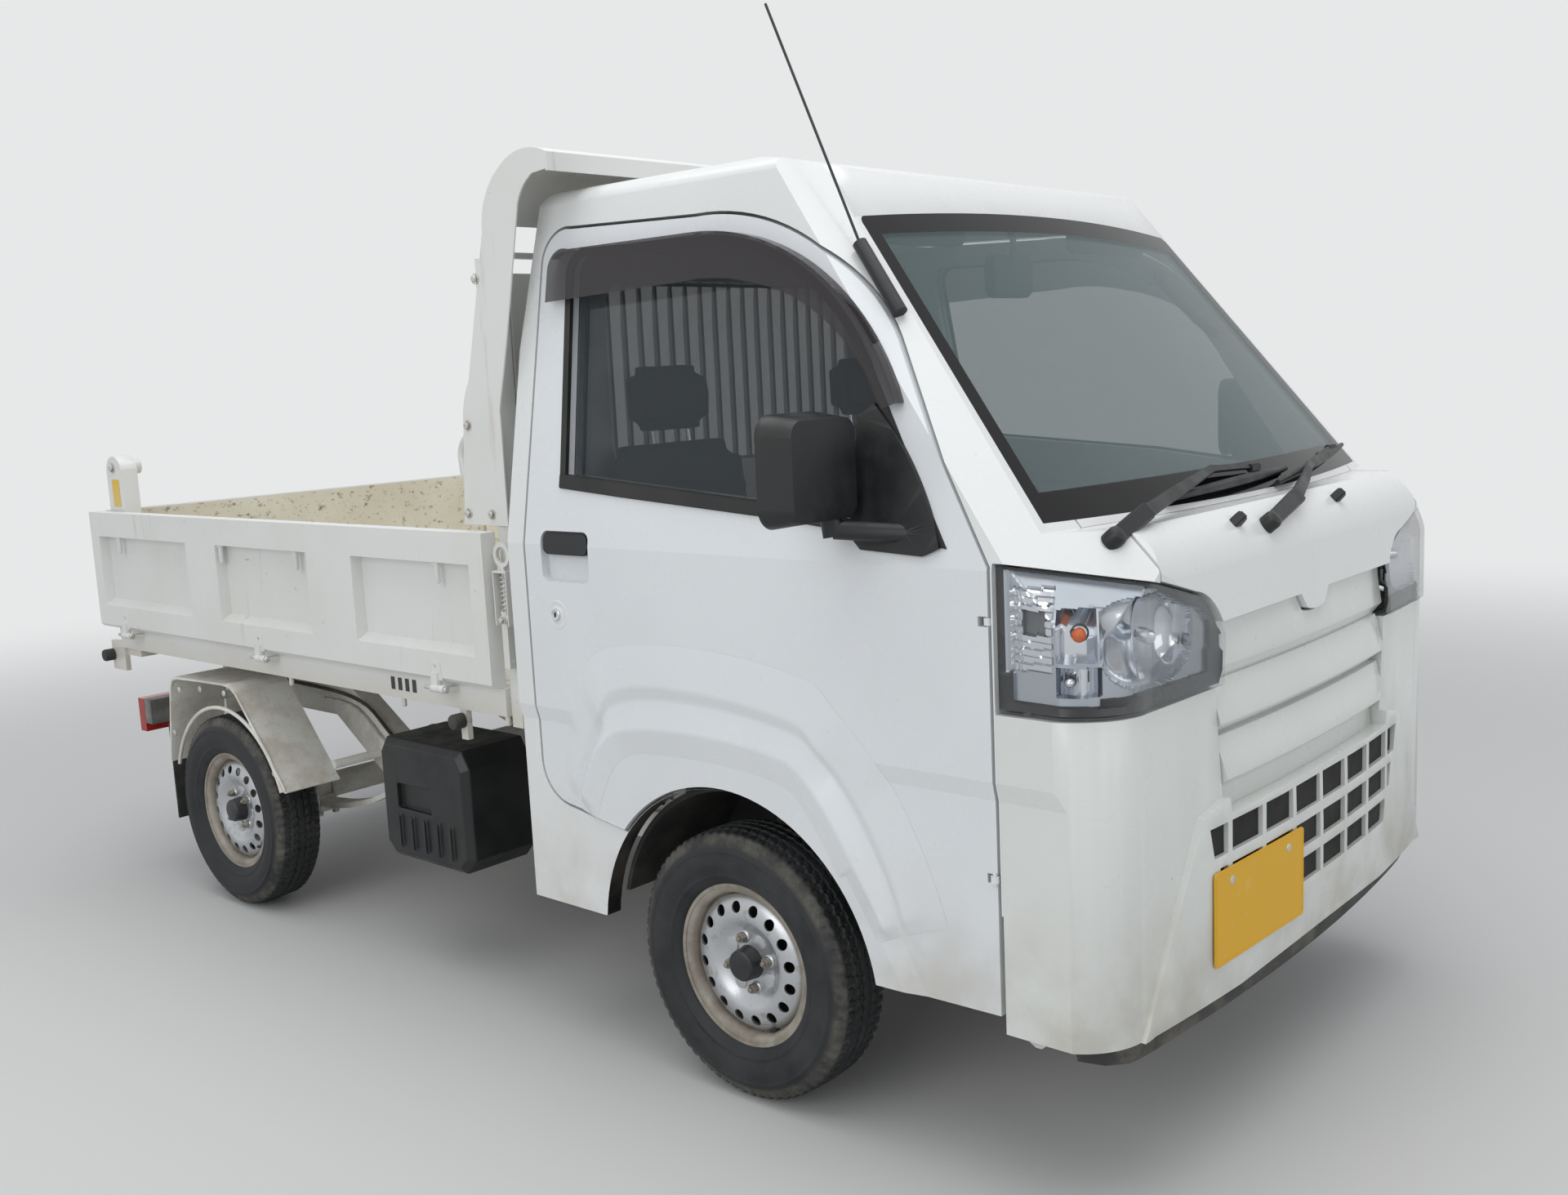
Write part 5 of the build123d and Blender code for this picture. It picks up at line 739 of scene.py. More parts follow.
columns = []
for k in range(161):
    theta = radians(4.5 + 79.0 * k / 160)
    inside = [z for z in (0.82 + 0.001 * j for j in range(270)) if lens_hit(theta, z)[0] is not None]
    if len(inside) > 12:
        columns.append((theta, inside[0] + 0.001, inside[-1] - 0.001))
rows = 72
points, numbers = [], []
for number, (theta, low, high) in enumerate(columns):
    for j in range(rows + 1):
        z = low + (high - low) * j / rows
        hit, way = lens_hit(theta, z)
        if hit is None:
            hit = lens_hit(theta, (low + high) / 2)[0]
            hit = Vector((hit.x, hit.y, z))
        edge = min(z - low, high - z, min(number, len(columns) - 1 - number) * 0.0016)
        depth, look_number = lamp_zone(theta, min(max(z, low + 0.002), high - 0.002), edge)
        points.append(hit - way * (depth + 0.0015))
        numbers.append(look_number)
cells = [i * (rows + 1) + j for i in range(len(columns) - 1) for j in range(rows)]
cells.sort(key=lambda a: numbers[a])
kit = Kit("lamp_rim", "lamp_chrome", "lamp_pane", "lamp_dark")
polygons = [(a, a + rows + 1, a + rows + 2, a + 1) for a in cells]
kit.shape(points, polygons, [numbers[a] for a in cells])
piece = kit.done("headlamp_inside_right", "chassis", 30, True)
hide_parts("headlamp_bowls")
bulbs = Kit("bulb_amber", "lamp_chrome", "lamp_rim")
for turned, z, deep, radius, number in ((62.5, 0.962, 0.05, 0.0115, 0), (64.5, 0.893, 0.024, 0.0075, 1)):
    hit, way = lens_hit(radians(turned), z)
    foot = hit - way * deep
    bulbs.lathe(foot, way, [(0, radius * 1.25), (0.006, radius * 1.25), (0.007, radius)], 2, 20)
    dome = [(0.007 + radius * (1.6 + sin(a)), radius * cos(a)) for a in (0, 0.4, 0.8, 1.2)]
    bulbs.lathe(foot, way, [(0.007, radius * 0.8), *dome, (0.007 + radius * 2.62, 0)], number, 20)
hit, way = lens_hit(radians(41), 0.939)
bulbs.lathe(hit - way * 0.05, way, mm(-20, 12, 12, 12, 20, 8.5, 22, 0), 1, 24)
bulbs.done("headlamp_bulbs_right", "chassis", mirror=True)

# Door furniture: window seal and belt strip, handle flap, lock and mirror glass
WINDOW = mm(-452, 1196) + arc_through(*mm(-430, 1585, -440, 1618, -474, 1628), 6)
WINDOW += arc_through(*mm(-770, 1622, -1040, 1545, -1212, 1352), 14) + mm(-1362, 1104, -1000, 1152)
BELT_LINE = mm(-440, 1197, -620, 1182, -1000, 1152, -1190, 1127)
seal = Kit("rubber_trim")
seal.ring(grown(WINDOW, 0.012), grown(WINDOW, -0.004), on_side(-0.006, 0.0028))
belt = [(y, z + 0.004) for y, z in BELT_LINE]
belt += [(y, z - drop) for (y, z), drop in zip(BELT_LINE[::-1], (0.016, 0.022, 0.024, 0.024))]
seal.slab(belt, on_side(-0.004, 0.0055), bevel=0.0018)
seal.done("window_seal_right", "door_right", mirror=True)
handle = Kit("handle_black", "rubber_trim")
handle.slab(rounded(-0.5285, -0.3935, 1.0405, 1.0845, 0.014), on_side(-0.014, -0.0012), bevel=0.003)
handle.slab(rounded(-0.522, -0.4, 1.052, 1.078, 0.008), on_side(-0.019, -0.013), 1)
handle.done("door_handle_right", "door_right", mirror=True)
lock = Kit("white_paint", "lamp_chrome", "lamp_rim")
x, y, z = side_x(0.919) + 0.001, -0.427, 0.919
rim = mm(0, 30, 1.8, 28.8, 2.2, 26.2, 1.2, 23.6, 0.8, 18, 2.6, 15, 2.8, 12.5)
lock.lathe((x, y, z), RIGHT, rim, 0, 40)
lock.lathe((x, y, z), RIGHT, mm(1, 12.5, 6.2, 12.2, 7.4, 10.8, 6.8, 8.8, 6.8, 0), 1, 32)
lock.box((x - 0.0085, y - 0.0009, z - 0.0045), (x - 0.006, y + 0.0009, z + 0.0045), 2, 0)
lock.done("door_lock_right", "door_right", mirror=True)
glass = Kit("mirror_glass", "black_plastic")
glass.slab(rounded(-0.896, -0.758, 1.151, 1.293, 0.026), flat(1, -1.1515, -1.1485), 0, 0.0006)
outer, inner = rounded(-0.904, -0.75, 1.143, 1.301, 0.03), rounded(-0.897, -0.757, 1.15, 1.294, 0.026)
glass.ring(outer, inner, flat(1, -1.152, -1.146), 1)
glass.done("mirror_glass_right", "door_right", mirror=True)

# The pressed flare round the front wheel, on each door: (y, z) points of its three creases
FLARE_CREASES = (
    mm(
        -435, 544.2, -458.6, 608.8, -492.7, 673.7, -536.3, 725.3, -561.4, 764, -607.7, 785.2, -672.3, 795.1,
        -751.7, 798.4, -836.2, 796.9, -917.1, 790.6, -1002.4, 779.6, -1062.1, 766, -1096.7, 733.2,
        -1151.6, 677.5, -1204.4, 605.8, -1248.5, 516.9, -1281.7, 424,
    ),
    mm(
        -454.8, 542.5, -468.8, 583.2, -493.5, 633.8, -528.9, 698.1, -556.5, 737.5, -586.2, 753.8,
        -633.6, 766.8, -714.9, 775.7, -801.1, 776.5, -883.6, 773, -962.7, 764.3, -1023.6, 754,
        -1064.3, 743.3, -1095.9, 715.6, -1150.6, 657.2, -1196.5, 587.3, -1241, 504, -1261.9, 436.8,
    ),
    mm(
        -469.7, 542.7, -497.1, 600.8, -529.2, 651.9, -570.5, 686.9, -618.6, 703.9, -700.8, 714.1,
        -796.5, 718.5, -895.7, 715.8, -974.5, 708.1, -1035.3, 695, -1071.2, 671.4, -1112.7, 625.3,
        -1153, 568.2, -1192.4, 506, -1224.9, 454.7, -1240.7, 423.5,
    ),
)
FLARE_FIRST, FLARE_LAST, FLARE_FADE = radians(33.6), radians(159.0), radians(3.2)
FLARE_COLUMNS, FLARE_CUTS = 180, (12, 6, 9, 12)

door = surface("door_right")


def skin(y, z, missing=SIDE_X):
    hit = door.ray_cast(Vector((-1.2, y, z)), Vector(LEFT))[0]
    return hit.x if hit and hit.x < -0.72 else missing


def around(crease):
    """Angle and distance from the axle along a smoothed crease."""
    path = [(p.y - FRONT_AXLE, p.z - WHEEL_Z) for p in smooth_path([(0, y, z) for y, z in crease])]
    return [(atan2(height, along), hypot(along, height)) for along, height in path]


def reach(rows, angle):
    if angle <= rows[0][0]:
        return rows[0][1]
    for (a, r), (b, s) in zip(rows, rows[1:]):
        if a <= angle <= b:
            return r + (s - r) * (angle - a) / max(b - a, 1e-6)
    return rows[-1][1]


creases = [around(crease) for crease in FLARE_CREASES]
points = []
for i in range(FLARE_COLUMNS + 1):
    angle = FLARE_FIRST + (FLARE_LAST - FLARE_FIRST) * i / FLARE_COLUMNS
    outer, groove, inner = (reach(rows, angle) for rows in creases)
    margin = 0.04 + 0.045 * max(0.0, min(1.0, (degrees(angle) - 36) / 18))
    inside = 0.05 if angle < radians(140) else 0.034
    distances = (outer + margin, outer, groove, inner, inner - inside)
    fade = min(1.0, (angle - FLARE_FIRST) / FLARE_FADE, (FLARE_LAST - angle) / FLARE_FADE)

    def at(distance):
        return FRONT_AXLE + cos(angle) * distance, WHEEL_Z + sin(angle) * distance

    skins = [skin(*at(distance)) for distance in distances]
    x_groove = skins[2] - 0.0003
    levels = (skins[0], min(x_groove - 0.0066, skins[1]), x_groove, min(skins[3], SIDE_X) - 0.0105, skins[4])
    for part, steps in enumerate(FLARE_CUTS):
        for j in range(steps + (part == len(FLARE_CUTS) - 1)):
            share = j / steps
            y, z = at(distances[part] + (distances[part + 1] - distances[part]) * share)
            x = levels[part] + (levels[part + 1] - levels[part]) * share
            base = skin(y, z)
            points.append(Vector((min(base + (x - base) * fade, base) - 0.0003, y, z)))
rows = sum(FLARE_CUTS) + 1
on_door = [skin(p.y, p.z, None) is not None for p in points]
cells = [i * rows + j for i in range(FLARE_COLUMNS) for j in range(rows - 1)]
polygons = [(a, a + rows, a + rows + 1, a + 1) for a in cells]
polygons = [corners for corners in polygons if all(on_door[c] for c in corners)]
used = {c: k for k, c in enumerate(sorted({c for corners in polygons for c in corners}))}
kit = Kit("door_paint")
kit.shape([points[c] for c in used], [[used[c] for c in corners] for corners in polygons])
kit.done("door_flare_right", "door_right", 60, True)

# Cab: inside mirror with its stalk, grab handle and sun visors, and the washer jets
kit = Kit("black_plastic", "mirror_glass", "rubber_trim")
kit.slab(rounded(-0.172, -0.028, 1.503, 1.586, 0.022), flat(1, -1.118, -1.094), 0, 0.006)
kit.slab(rounded(-0.165, -0.035, 1.51, 1.579, 0.018), flat(1, -1.0945, -1.0925), 1)
kit.tube(smooth_path([(-0.1, -1.112, 1.565), (-0.1, -1.118, 1.61), (-0.1, -1.1, 1.655)]), 0.006)
grab = [(0.604, -1.062, 1.566), (0.575, -1.085, 1.545), (0.578, -1.135, 1.492), (0.585, -1.175, 1.45)]
kit.tube(smooth_path(grab + [(0.618, -1.2, 1.418)]), 0.0095, 2)
for x in (-0.36, 0.36):
    kit.slab(rounded(x - 0.16, x + 0.16, 1.6, 1.655, 0.02), flat(1, -1.075, -1.058), 0, 0.004)
kit.done("cab_inside_fittings", "chassis")
jets = Kit("black_plastic")
fin = mm(-13, 0, 13, 0, 15, 14, 12, 22, 5, 26.5, -2, 24, -8, 15)
rise, run = Vector((0, -0.66, 0.75)), Vector((0, 0.75, 0.66))
skins = surface("bonnet_panel"), surface("cowl")
for x in (-0.25, 0.195):
    spots = [skin.ray_cast(Vector((x, -1.648, 1.4)), Vector(DOWN))[0] for skin in skins]
    spot = max((p for p in spots if p), key=lambda p: p.z)
    foot = spot - rise * 0.003
    jets.slab(fin, lambda a, b, d: foot + Vector((a, 0, 0)) + rise * b + run * (0.018 * d), 0, 0.003)
jets.done("washer_jets", "chassis")


def bolt(kit, at, way, size):
    kit.lathe(at, way, [(0, size * 1.35), (0.0016, size * 1.35), (0.0022, size)], 0, 24)
    head = [(0.0018, size * 0.92), (0.0072, size * 0.9), (0.0084, size * 0.72), (0.0084, 0)]
    kit.lathe(at, way, head, 0, 6)


# Front end below the grille: a dark sheet behind the intake bars as painted shade in the openings, valance
# and towing brackets
NOSE_Y, NOSE_BOW = -1.6975, 0.0889
kit = Kit("drum_black", "valance_grey", "bumper_paint", "nut_steel")


def nose(half, behind):
    xs = [-half + 2 * half * k / 24 for k in range(25)]
    return [(x, NOSE_Y + NOSE_BOW * x * x + behind) for x in xs]


# Painted shade: near-black strips just behind the intake openings.
for top, low, half in ((602, 544, 0.421), (528, 476, 0.39), (460, 410, 0.354)):
    kit.strip(nose(half, 0.0085), mm(0, low, 0, top, 3, top, 3, low), 0)
corner = mm(-668, -1560, -655, -1605, -622, -1636)
edge = corner + nose(0.585, 0.024) + [(-x, y) for x, y in corner[::-1]]
kit.strip(edge, mm(0, 330, 2, 262, 7, 252, 13, 252, 13, 330), 1)
bracket = mm(-1520, 302, -1462, 302, -1478, 268, -1488, 262, -1500, 262, -1508, 270)
for x, way in ((-0.672, RIGHT), (0.672, LEFT)):
    kit.slab(bracket, flat(0, x - 0.004, x + 0.004), 2, 0.0012)
    kit.lathe((x, -1.493, 0.279), way, mm(-10, 0, -10, 7, 7, 7, 9.5, 5.5, 9.5, 0), 3, 18)
kit.done("front_end_fittings", "chassis")

# Wipers: pivots, sprung arms and rubber blades, laid on the windscreen
glass = surface("windscreen")
kit = Kit("black_plastic", "rubber_black")
flattened = ((-1, -0.4), (-0.8, -1), (0.8, -1), (1, -0.4), (1, 0.4), (0.8, 1), (-0.8, 1), (-1, 0.4))
slope = Vector((0, -0.773, 0.634))


def on_glass(x, z, lift):
    spot, normal = glass.ray_cast(Vector((x, -2.2, z)), Vector((0, 1, 0)))[:2]
    return spot + (-normal if normal.y > 0 else normal) * lift


def ribbon(path, widths, depths):
    rings = []
    for i, here in enumerate(path):
        way = heading(path, i)
        side = way.cross(slope).normalized()
        lift = side.cross(way)
        share = i / (len(path) - 1)
        wide, deep = (low + (high - low) * share for low, high in (widths, depths))
        rings.append([here + side * (a * wide / 2) + lift * (b * deep / 2) for a, b in flattened])
    kit.loft(rings)


for base, joint, elbow, arm_end, blade_start, blade_end in (
    (
        (-0.597, -1.606, 1.103), (-0.5, -1.607, 1.132), (-0.14, 1.158, 0.022), (0.03, 1.153, 0.016),
        (-0.33, 1.128), (0.172, 1.141),
    ),
    (
        (-0.15, -1.664, 1.083), (0.012, -1.642, 1.11), (0.265, 1.134, 0.024), (0.5, 1.158, 0.014),
        (0.09, 1.121), (0.606, 1.158),
    ),
):
    base, joint = Vector(base), Vector(joint)
    way = (joint - base).normalized()
    ribbon([base - way * 0.01, base, base.lerp(joint, 0.5), joint], (0.026, 0.031), (0.016, 0.021))
    kit.lathe(base - slope * 0.016, slope, mm(0, 16.5, 20, 16.5, 26, 14, 29, 8, 29.5, 0), 0, 28)
    bend, end = on_glass(*elbow), on_glass(*arm_end)
    middle = joint.lerp(bend, 0.5) + slope * 0.004
    ribbon([joint - way * 0.006, middle, bend], (0.025, 0.016), (0.014, 0.008))
    start = bend - (bend - joint).normalized() * 0.004
    ribbon([start, bend.lerp(end, 0.5), end], (0.016, 0.011), (0.008, 0.006))
    kit.box(end + Vector((-0.022, -0.007, -0.01)), end + Vector((0.022, 0.006, 0.006)), 0, 0.003)
    blade, lip, thick = [], [], []
    for k in range(25):
        share = k / 24
        x, z = (low + (high - low) * share for low, high in zip(blade_start, blade_end))
        blade.append(on_glass(x, z, 0.0115 + 0.0035 * sin(pi * share)))
        lip.append(on_glass(x, z, 0.0048))
        thick.append(0.0048 + 0.0045 * sin(pi * share))
    kit.tube(blade, thick, 0, 10)
    kit.tube(lip, 0.0042, 1, 8)
piece = kit.done("wiper_sets", "chassis")
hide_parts("wipers")

# Load bed: bolts, the post's yellow strip, rubber buffers, vents, hinge pins and the latch springs
kit = Kit("bolt_steel", "bed_paint", "rubber_black", "label_yellow", "dark_trim")
for y, z in mm(-117, 1112, -197, 1112, -137, 1300, -200, 1600):
    bolt(kit, (-0.702, y, z), RIGHT, 0.0085)
bolt(kit, (-0.693, 1.556, 1.2), RIGHT, 0.012)
bolt(kit, (-0.645, 1.556, 1.2), LEFT, 0.012)
kit.slab(rounded(1.523, 1.567, 1.088, 1.166, 0.003, 2), flat(0, -0.6932, -0.6938), 3)
for y in (-0.038, 1.655):
    kit.lathe((-0.7065, y, 0.648), RIGHT, mm(0, 17.5, 24, 17.5, 27.5, 16, 28.5, 12, 28.5, 0), 2, 32)
for k in range(4):
    y = 0.13 + 0.028 * k
    kit.box((-0.7052, y, 0.692), (-0.7036, y + 0.014, 0.7215), 4, 0)
for y in (0.683, 0.194, -0.19):
    kit.lathe((-0.697, y, 0.676), DOWN, mm(0, 6, 22, 6, 24, 4.5, 24, 0), 1, 14)
for y in (0.0, 0.75, 1.48):
    kit.tube([(-0.7425, y - 0.043, 0.724), (-0.7425, y + 0.04, 0.724)], 0.0045, 0, 14)
    kit.lathe((-0.7425, y - 0.036, 0.724), (0, -1, 0), mm(0, 7.5, 4, 7.5, 6, 5.5, 6, 0), 0, 18)
kit.done("bed_fittings_right", "bed", mirror=True)
spring = Kit("bolt_steel", "bed_paint")
coil = []
for k in range(8 * 16 + 1):
    angle = 2 * pi * k / 16
    coil.append((-0.71 + 0.0088 * cos(angle), -0.23 + 0.0088 * sin(angle), 0.908 + 0.078 * k / 128))
spring.tube(coil, 0.0021, 0, 8)
bolt(spring, (-0.728, -0.238, 0.892), RIGHT, 0.007)
spring.lathe((-0.7035, -0.227, 0.8), RIGHT, mm(0, 10, 1.5, 10, 3, 7, 3, 0), 1, 20)
spring.done("latch_springs_right", "bed", mirror=True)

# Side gates: latch hooks and hinge straps with their rivets, kept to the outer face
kit = Kit("bed_paint", "bolt_steel")
for y in (-0.018, 0.556, 0.919, 1.49):
    kit.lathe((-0.7265, y, 0.9625), DOWN, mm(0, 5.9, 2.6, 5.2, 4.8, 3.2, 5.4, 0), 0, 18)
    hook = [(-0.7265, y, 0.998), (-0.7262, y + 0.01, 1.003), (-0.722, y + 0.02, 1.0055)]
    kit.tube(smooth_path(hook, 4), 0.0056, 0, 12)
for y in (0.0, 0.75, 1.48):
    strap = [(y - 0.022, 0.742), (y + 0.022, 0.742), (y + 0.017, 0.786), (y - 0.017, 0.786)]
    kit.slab(strap, flat(0, -0.7365, -0.7395), 0, 0.001)
    for z in (0.757, 0.775):
        kit.lathe((-0.7392, y, z), RIGHT, mm(0, 4.5, 1.2, 3.8, 1.5, 0), 1, 16)
kit.done("gate_fittings_right", "gate_right", mirror=True)

# Rear fenders: rolled edges and screws
kit = Kit("frame_paint", "bolt_steel")
arch = arc_through(*mm(1314, 362, 1043, 553, 771, 358), 40)
kit.tube([(-0.7065, y, z) for y, z in arch], 0.0052, 0, 12)
outer = mm(752, 366, 857, 487, 958, 600, 984, 616, 1020, 620, 1150, 617, 1280, 612, 1305, 604, 1320, 580)
kit.tube([(-0.7062, y, z) for y, z in outer + mm(1362, 366)], 0.0035, 0, 10)
for y, z in mm(800, 405, 900, 520, 1020, 596, 1150, 594, 1270, 580, 1325, 450):
    kit.lathe((-0.7058, y, z), RIGHT, mm(0, 8.5, 1.2, 8.5, 3.2, 6.2, 3.6, 0), 1, 20)
kit.done("fender_edges_right", "chassis", 40, True)

# Tail lamps: ribbed covers in three colours over the housings
kit = Kit("tail_red", "tail_amber", "tail_clear", "black_plastic")
wide, tall = 18, 72
cells = [j * (wide + 1) + i for j in range(tall) for i in range(wide)]
polygons = [(a, a + 1, a + wide + 2, a + wide + 1) for a in cells]
for number, (low, high) in enumerate(mm(-636, -562, -559, -500, -497, -434)):
    points = []
    for j in range(tall + 1):
        for i in range(wide + 1):
            u, v = i / wide, j / tall
            edge = min(1.0, min(u, 1 - u, v, 1 - v) / 0.07)
            ribs = 0.0016 * abs(sin(v * pi * 9))
            y = 1.6742 + 0.006 * edge**0.5 - ribs * edge
            points.append((low + (high - low) * u, y, 0.404 + 0.092 * v))
    kit.shape(points, polygons, number)
for low, high in ((0.4002, 0.4035), (0.4968, 0.4998)):
    kit.box((-0.6395, 1.6405, low), (-0.4305, 1.6746, high), 3, 0.0012)
for x in (-0.56, -0.498):
    kit.box((x - 0.0012, 1.672, 0.403), (x + 0.0012, 1.6765, 0.497), 3, 0)
for x in (-0.6, -0.466):
    kit.lathe((x, 1.6802, 0.45), (0, 1, 0), mm(-2, 4.5, 1, 4.2, 1.6, 3, 1.6, 0), 3, 16)
kit.done("tail_covers_right", "chassis", 30, True)

# Number plate: pressed rim and two bolts on its front face
front = [p for p in nodes["number_plates"].data.polygons if p.normal.y < -0.7]
middle = sum((p.center * p.area for p in front), Vector()) / sum(p.area for p in front)
outward = front[0].normal
side = Vector((0, 0, 1)).cross(outward).normalized()
rise = outward.cross(side)


def place(a, b, depth):
    return middle + side * a + rise * b + outward * (0.0008 * depth - 0.0002)


kit = Kit("plate_yellow", "bolt_steel")
outer, inner = rounded(-0.162, 0.162, -0.0795, 0.0795, 0.008), rounded(-0.159, 0.159, -0.0765, 0.0765, 0.006)
kit.ring(outer, inner, place)
for a in (-0.105, 0.105):
    kit.lathe(middle + side * a + rise * 0.058, outward, mm(0, 7.8, 0.7, 7.6, 1.3, 6, 1.4, 0), 1, 24)
kit.done("plate_fittings", "chassis", 30)

# Chassis fittings on view below the bed: brake pipes with their clips, and spring bolts
kit = Kit("rubber_black", "bolt_steel", "cast_metal")
pipe = [(-0.404, -0.35, 0.43), (-0.4055, 0.2, 0.425), (-0.4055, 0.62, 0.425), (-0.405, 0.84, 0.535)]
kit.tube(smooth_path(pipe + [(-0.404, 1.2, 0.556), (-0.404, 1.5, 0.556)], 8), 0.0048, 0, 10)
pipe = [(-0.404, -0.35, 0.405), (-0.4055, 0.2, 0.4), (-0.4055, 0.64, 0.4), (-0.405, 0.86, 0.512)]
kit.tube(smooth_path(pipe + [(-0.404, 1.02, 0.526)], 8), 0.0032, 1, 10)
for y in (0.05, 0.35, 0.6):
    kit.box((-0.4125, y - 0.008, 0.392), (-0.3975, y + 0.008, 0.434), 2, 0.002)
for y in (1.003, 1.083):
    for x in (-0.466, -0.414):
        kit.tube([(x, y, 0.2), (x, y, 0.312)], 0.006, 1, 12)
        kit.lathe((x, y, 0.204), DOWN, mm(0, 10.5, 9, 10.5, 9, 0), 1, 6)
kit.done("under_fittings_right", "chassis", mirror=True)


# Seats: padded cushions, backs and headrests, blown up as cloth inside their covers
def pad_mesh(name, low, high, corner, lean=0.0, waist=0.0):
    """A rounded block whose top leans back; low and high are its corners before it leans."""
    part = block(low, high, corner, 4)
    middle_x = ((Vector(low) + Vector(high)) / 2).x
    height = (Vector(high) - Vector(low)).z
    for v in part.verts:
        share = (v.co.z - low[2]) / height
        v.co.y += lean * share
        if waist:
            v.co.x = middle_x + (v.co.x - middle_x) * (1 - waist * share**3)
    mesh = bpy.data.meshes.new(name)
    part.to_mesh(mesh)
    part.free()
    mesh.materials.append(look["seat_cloth"])
    return add(name, mesh)


def inflate(pieces, pressure, cap):
    """Cloth under pressure for 20 frames; no point moves further than cap."""
    for piece in pieces:
        remesh = piece.modifiers.new("remesh", "REMESH")
        remesh.mode = "VOXEL"
        remesh.voxel_size = 0.009
        apply_all(piece)
    starts = {}
    for piece in pieces:
        starts[piece.name] = [v.co.copy() for v in piece.data.vertices]
        cloth = piece.modifiers.new("cloth", "CLOTH")
        cloth.settings.use_pressure = True
        cloth.settings.uniform_pressure_force = pressure
        cloth.settings.effector_weights.gravity = 0
        cloth.settings.quality = 4
        cloth.collision_settings.use_collision = False
    for number in range(1, 21):
        scene.frame_set(number)
    for piece in pieces:
        apply_all(piece)
        for v, start in zip(piece.data.vertices, starts[piece.name]):
            step = v.co - start
            if step.length > cap:
                v.co = start + step * (cap / step.length)
    scene.frame_set(1)


def stitch(piece, seams, face_axis, face_place, sign):
    """Presses sewn channels into a face: each seam is (axis, place, depth, half width)."""
    for v in piece.data.vertices:
        for axis, place, depth, half in seams:
            off = abs(v.co[axis] - place)
            if off < half * 3 and (v.co[face_axis] - face_place) * sign > 0:
                v.co[face_axis] -= sign * depth * exp(-((off / half) ** 2))


SEAT_X = 0.345

made = []
for x, tag in ((-SEAT_X, "right"), (SEAT_X, "left")):
    base = pad_mesh("seat_base_" + tag, (x - 0.222, -0.872, 0.668), (x + 0.222, -0.47, 0.782), 0.036)
    low, high = (x - 0.215, -0.512, 0.7), (x + 0.215, -0.405, 1.25)
    rest = pad_mesh("seat_back_" + tag, low, high, 0.036, 0.075, 0.12)
    low, high = (x - 0.12, -0.42, 1.262), (x + 0.12, -0.35, 1.412)
    head = pad_mesh("headrest_" + tag, low, high, 0.028, 0.008)
    made += [(base, x, "base"), (rest, x, "back"), (head, x, "head")]
inflate([piece for piece, _, _ in made], 4.0, 0.01)
for piece, x, kind in made:
    if kind == "base":
        sides = [(0, x + d, 0.007, 0.006) for d in (-0.13, 0.13)]
        stitch(piece, sides + [(1, -0.78, 0.005, 0.006)], 2, 0.74, 1)
    if kind == "back":
        sides = [(0, x + d, 0.007, 0.006) for d in (-0.12, 0.12)]
        stitch(piece, sides + [(2, 1.12, 0.005, 0.007)], 1, -0.46, -1)
    piece.data.shade_smooth()
    if kind != "head":
        round_off = piece.modifiers.new("round", "SUBSURF")
        round_off.levels = round_off.render_levels = 1
        apply_all(piece)
    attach(piece, "chassis")
    piece.data.shade_smooth()
    if piece.name == "seat_base_right":
        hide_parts("seats")
posts = Kit("lamp_chrome", "dark_trim")
for middle in (-SEAT_X, SEAT_X):
    for x in (middle - 0.055, middle + 0.055):
        posts.tube([(x, -0.384, 1.235), (x, -0.378, 1.285)], 0.0055, 0, 12)
    posts.box((middle - 0.185, -0.84, 0.6615), (middle + 0.185, -0.42, 0.676), 1, 0.004)
posts.done("seat_frames", "chassis")

# Softened edges on the pressed and folded sheet metal, in metres
SOFT = {
    "bed_floor": 0.0016, "bed_guard": 0.0012, "gate_right": 0.0026, "gate_left": 0.0026, "tailgate": 0.0022,
    "gate_latches": 0.001, "rear_bumper": 0.003, "battery_box": 0.004, "roof_panel": 0.0018,
    "mirror_right": 0.005, "mirror_left": 0.005, "dashboard": 0.006, "rear_fenders": 0.0015, "frame": 0.002,
    "grille_panel": 0.0016, "front_bumper": 0.0022, "number_plates": 0.001, "exhaust": 0.002,
}
for name, radius in SOFT.items():
    weld = nodes[name].modifiers.new("weld", "WELD")
    weld.merge_threshold = 0.00002
    soften = nodes[name].modifiers.new("soften", "BEVEL")
    soften.width = radius
    soften.segments = 2
    soften.limit_method = "ANGLE"
    soften.angle_limit = radians(38)
    soften.use_clamp_overlap = True
    soften.harden_normals = True

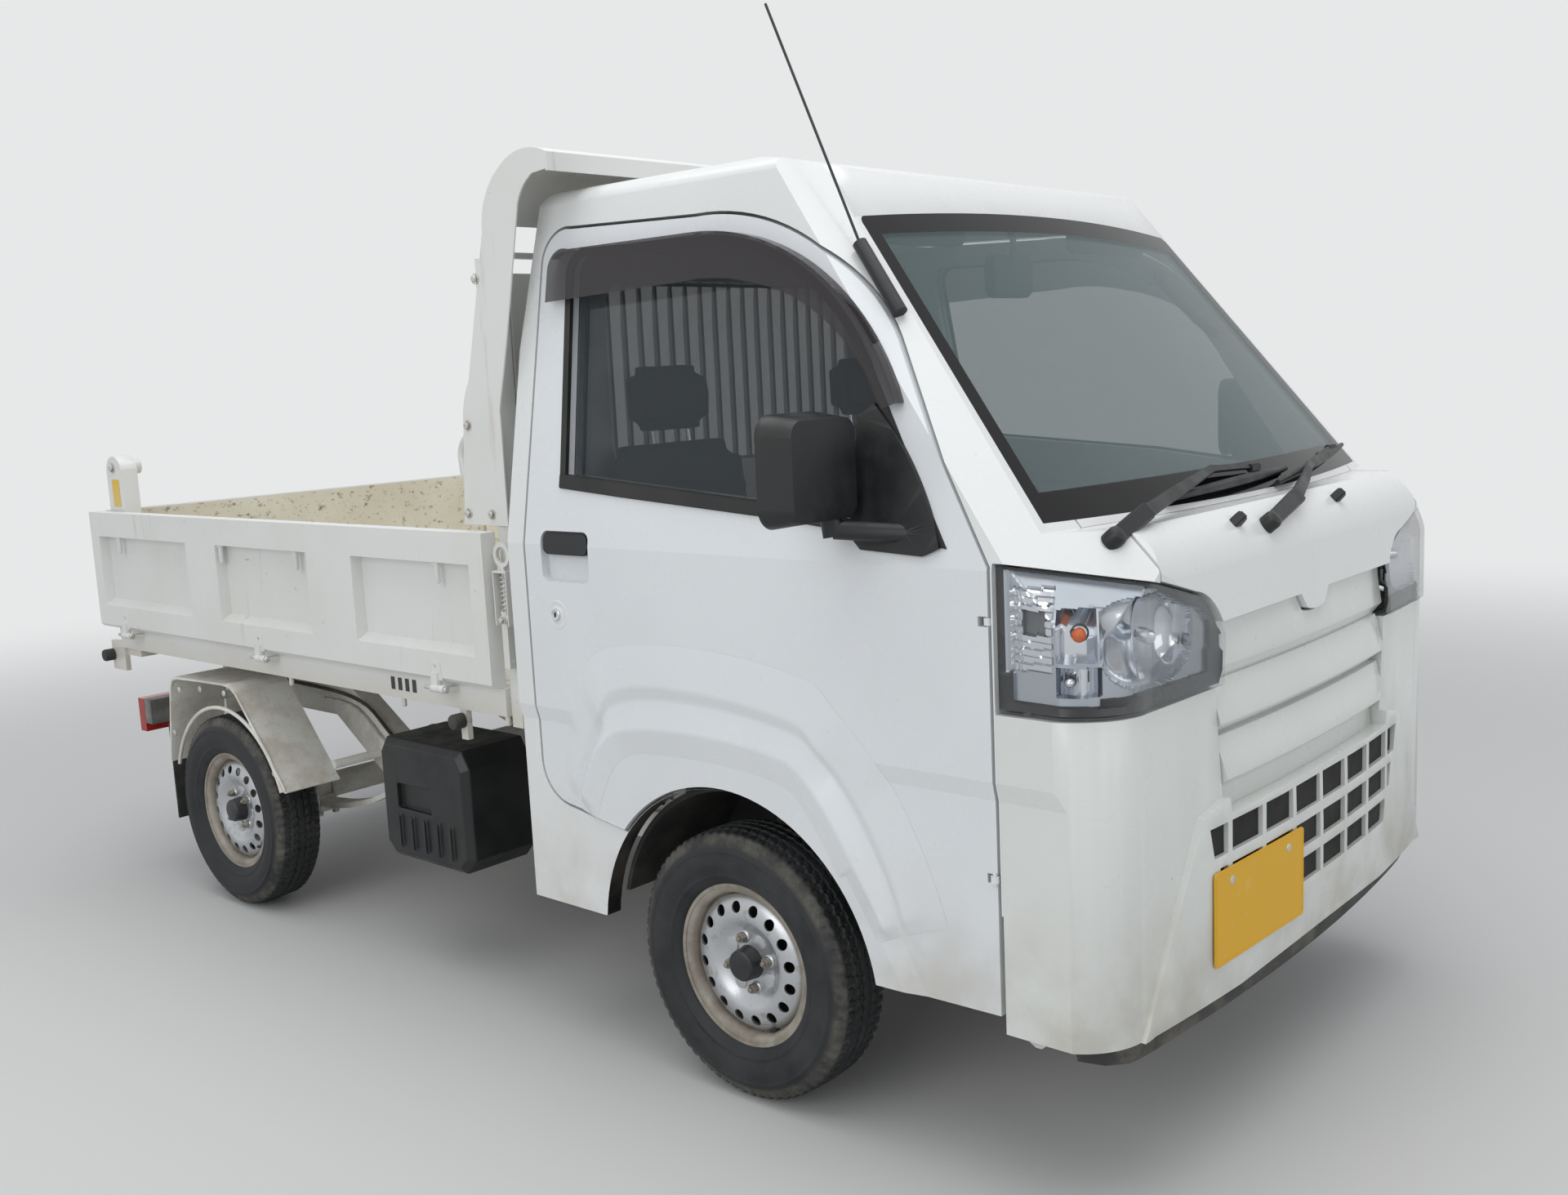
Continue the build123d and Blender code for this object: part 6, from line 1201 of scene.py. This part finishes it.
# Stage
bpy.ops.mesh.primitive_plane_add(size=60, location=(0, 0, -0.001))
floor = bpy.context.object
floor.name = "floor"
ground = Paint("floor", (0.62, 0.62, 0.61), 0.85)
floor.data.materials.append(look["floor"])
PALE = (0.8, 0.81, 0.815)


def seen_rays(tree):
    """1 for rays that the camera, a mirror or glass sees the background with."""
    rays = tree.nodes.new("ShaderNodeLightPath").outputs
    return Value(rays["Is Camera Ray"]) | Value(rays["Is Glossy Ray"]) | Value(rays["Is Transmission Ray"])


def choose(tree, share, first, second, end):
    """Mixes two shaders into the tree's end node."""
    blend = tree.nodes.new("ShaderNodeMixShader")
    for socket, source in zip(blend.inputs, (share.socket, first.outputs[0], second.outputs[0])):
        tree.links.new(source, socket)
    tree.links.new(blend.outputs[0], tree.nodes[end].inputs["Surface"])


def shining(node, colour, strength):
    node.inputs["Color"].default_value = (*colour, 1)
    node.inputs["Strength"].default_value = strength
    return node


# The floor fades into the background far from the object
away = maths("SQRT", ground.x * ground.x + ground.y * ground.y)
fade = span(away, 2.6, 7.5) * seen_rays(ground.tree)
glow = shining(ground.tree.nodes.new("ShaderNodeEmission"), PALE, 1.0)
choose(ground.tree, fade, ground.shader, glow, "Material Output")
world = bpy.data.worlds.new("world")
scene.world = world
world.use_nodes = True
sky_tree = world.node_tree
sky = shining(sky_tree.nodes["Background"], (0.9, 0.94, 1.0), 0.44)
pale = shining(sky_tree.nodes.new("ShaderNodeBackground"), PALE, 1.0)
choose(sky_tree, seen_rays(sky_tree), sky, pale, "World Output")


def lamp(name, at, aim, size, power):
    light = bpy.data.lights.new(name, "AREA")
    light.shape = "RECTANGLE"
    light.size, light.size_y = size
    light.energy = power
    holder = add(name, light)
    holder.location = at
    holder.rotation_euler = (Vector(aim) - Vector(at)).to_track_quat("-Z", "Y").to_euler()


lamp("overhead", (-0.5, -0.6, 6.0), (0, 0, 0.8), (7, 7), 245)
lamp("driver_side", (-6.5, -1.5, 3.2), (0, -0.2, 0.9), (5, 3.5), 100)
lamp("front", (-0.5, -7.0, 2.6), (0, -1, 0.8), (5, 3), 42)
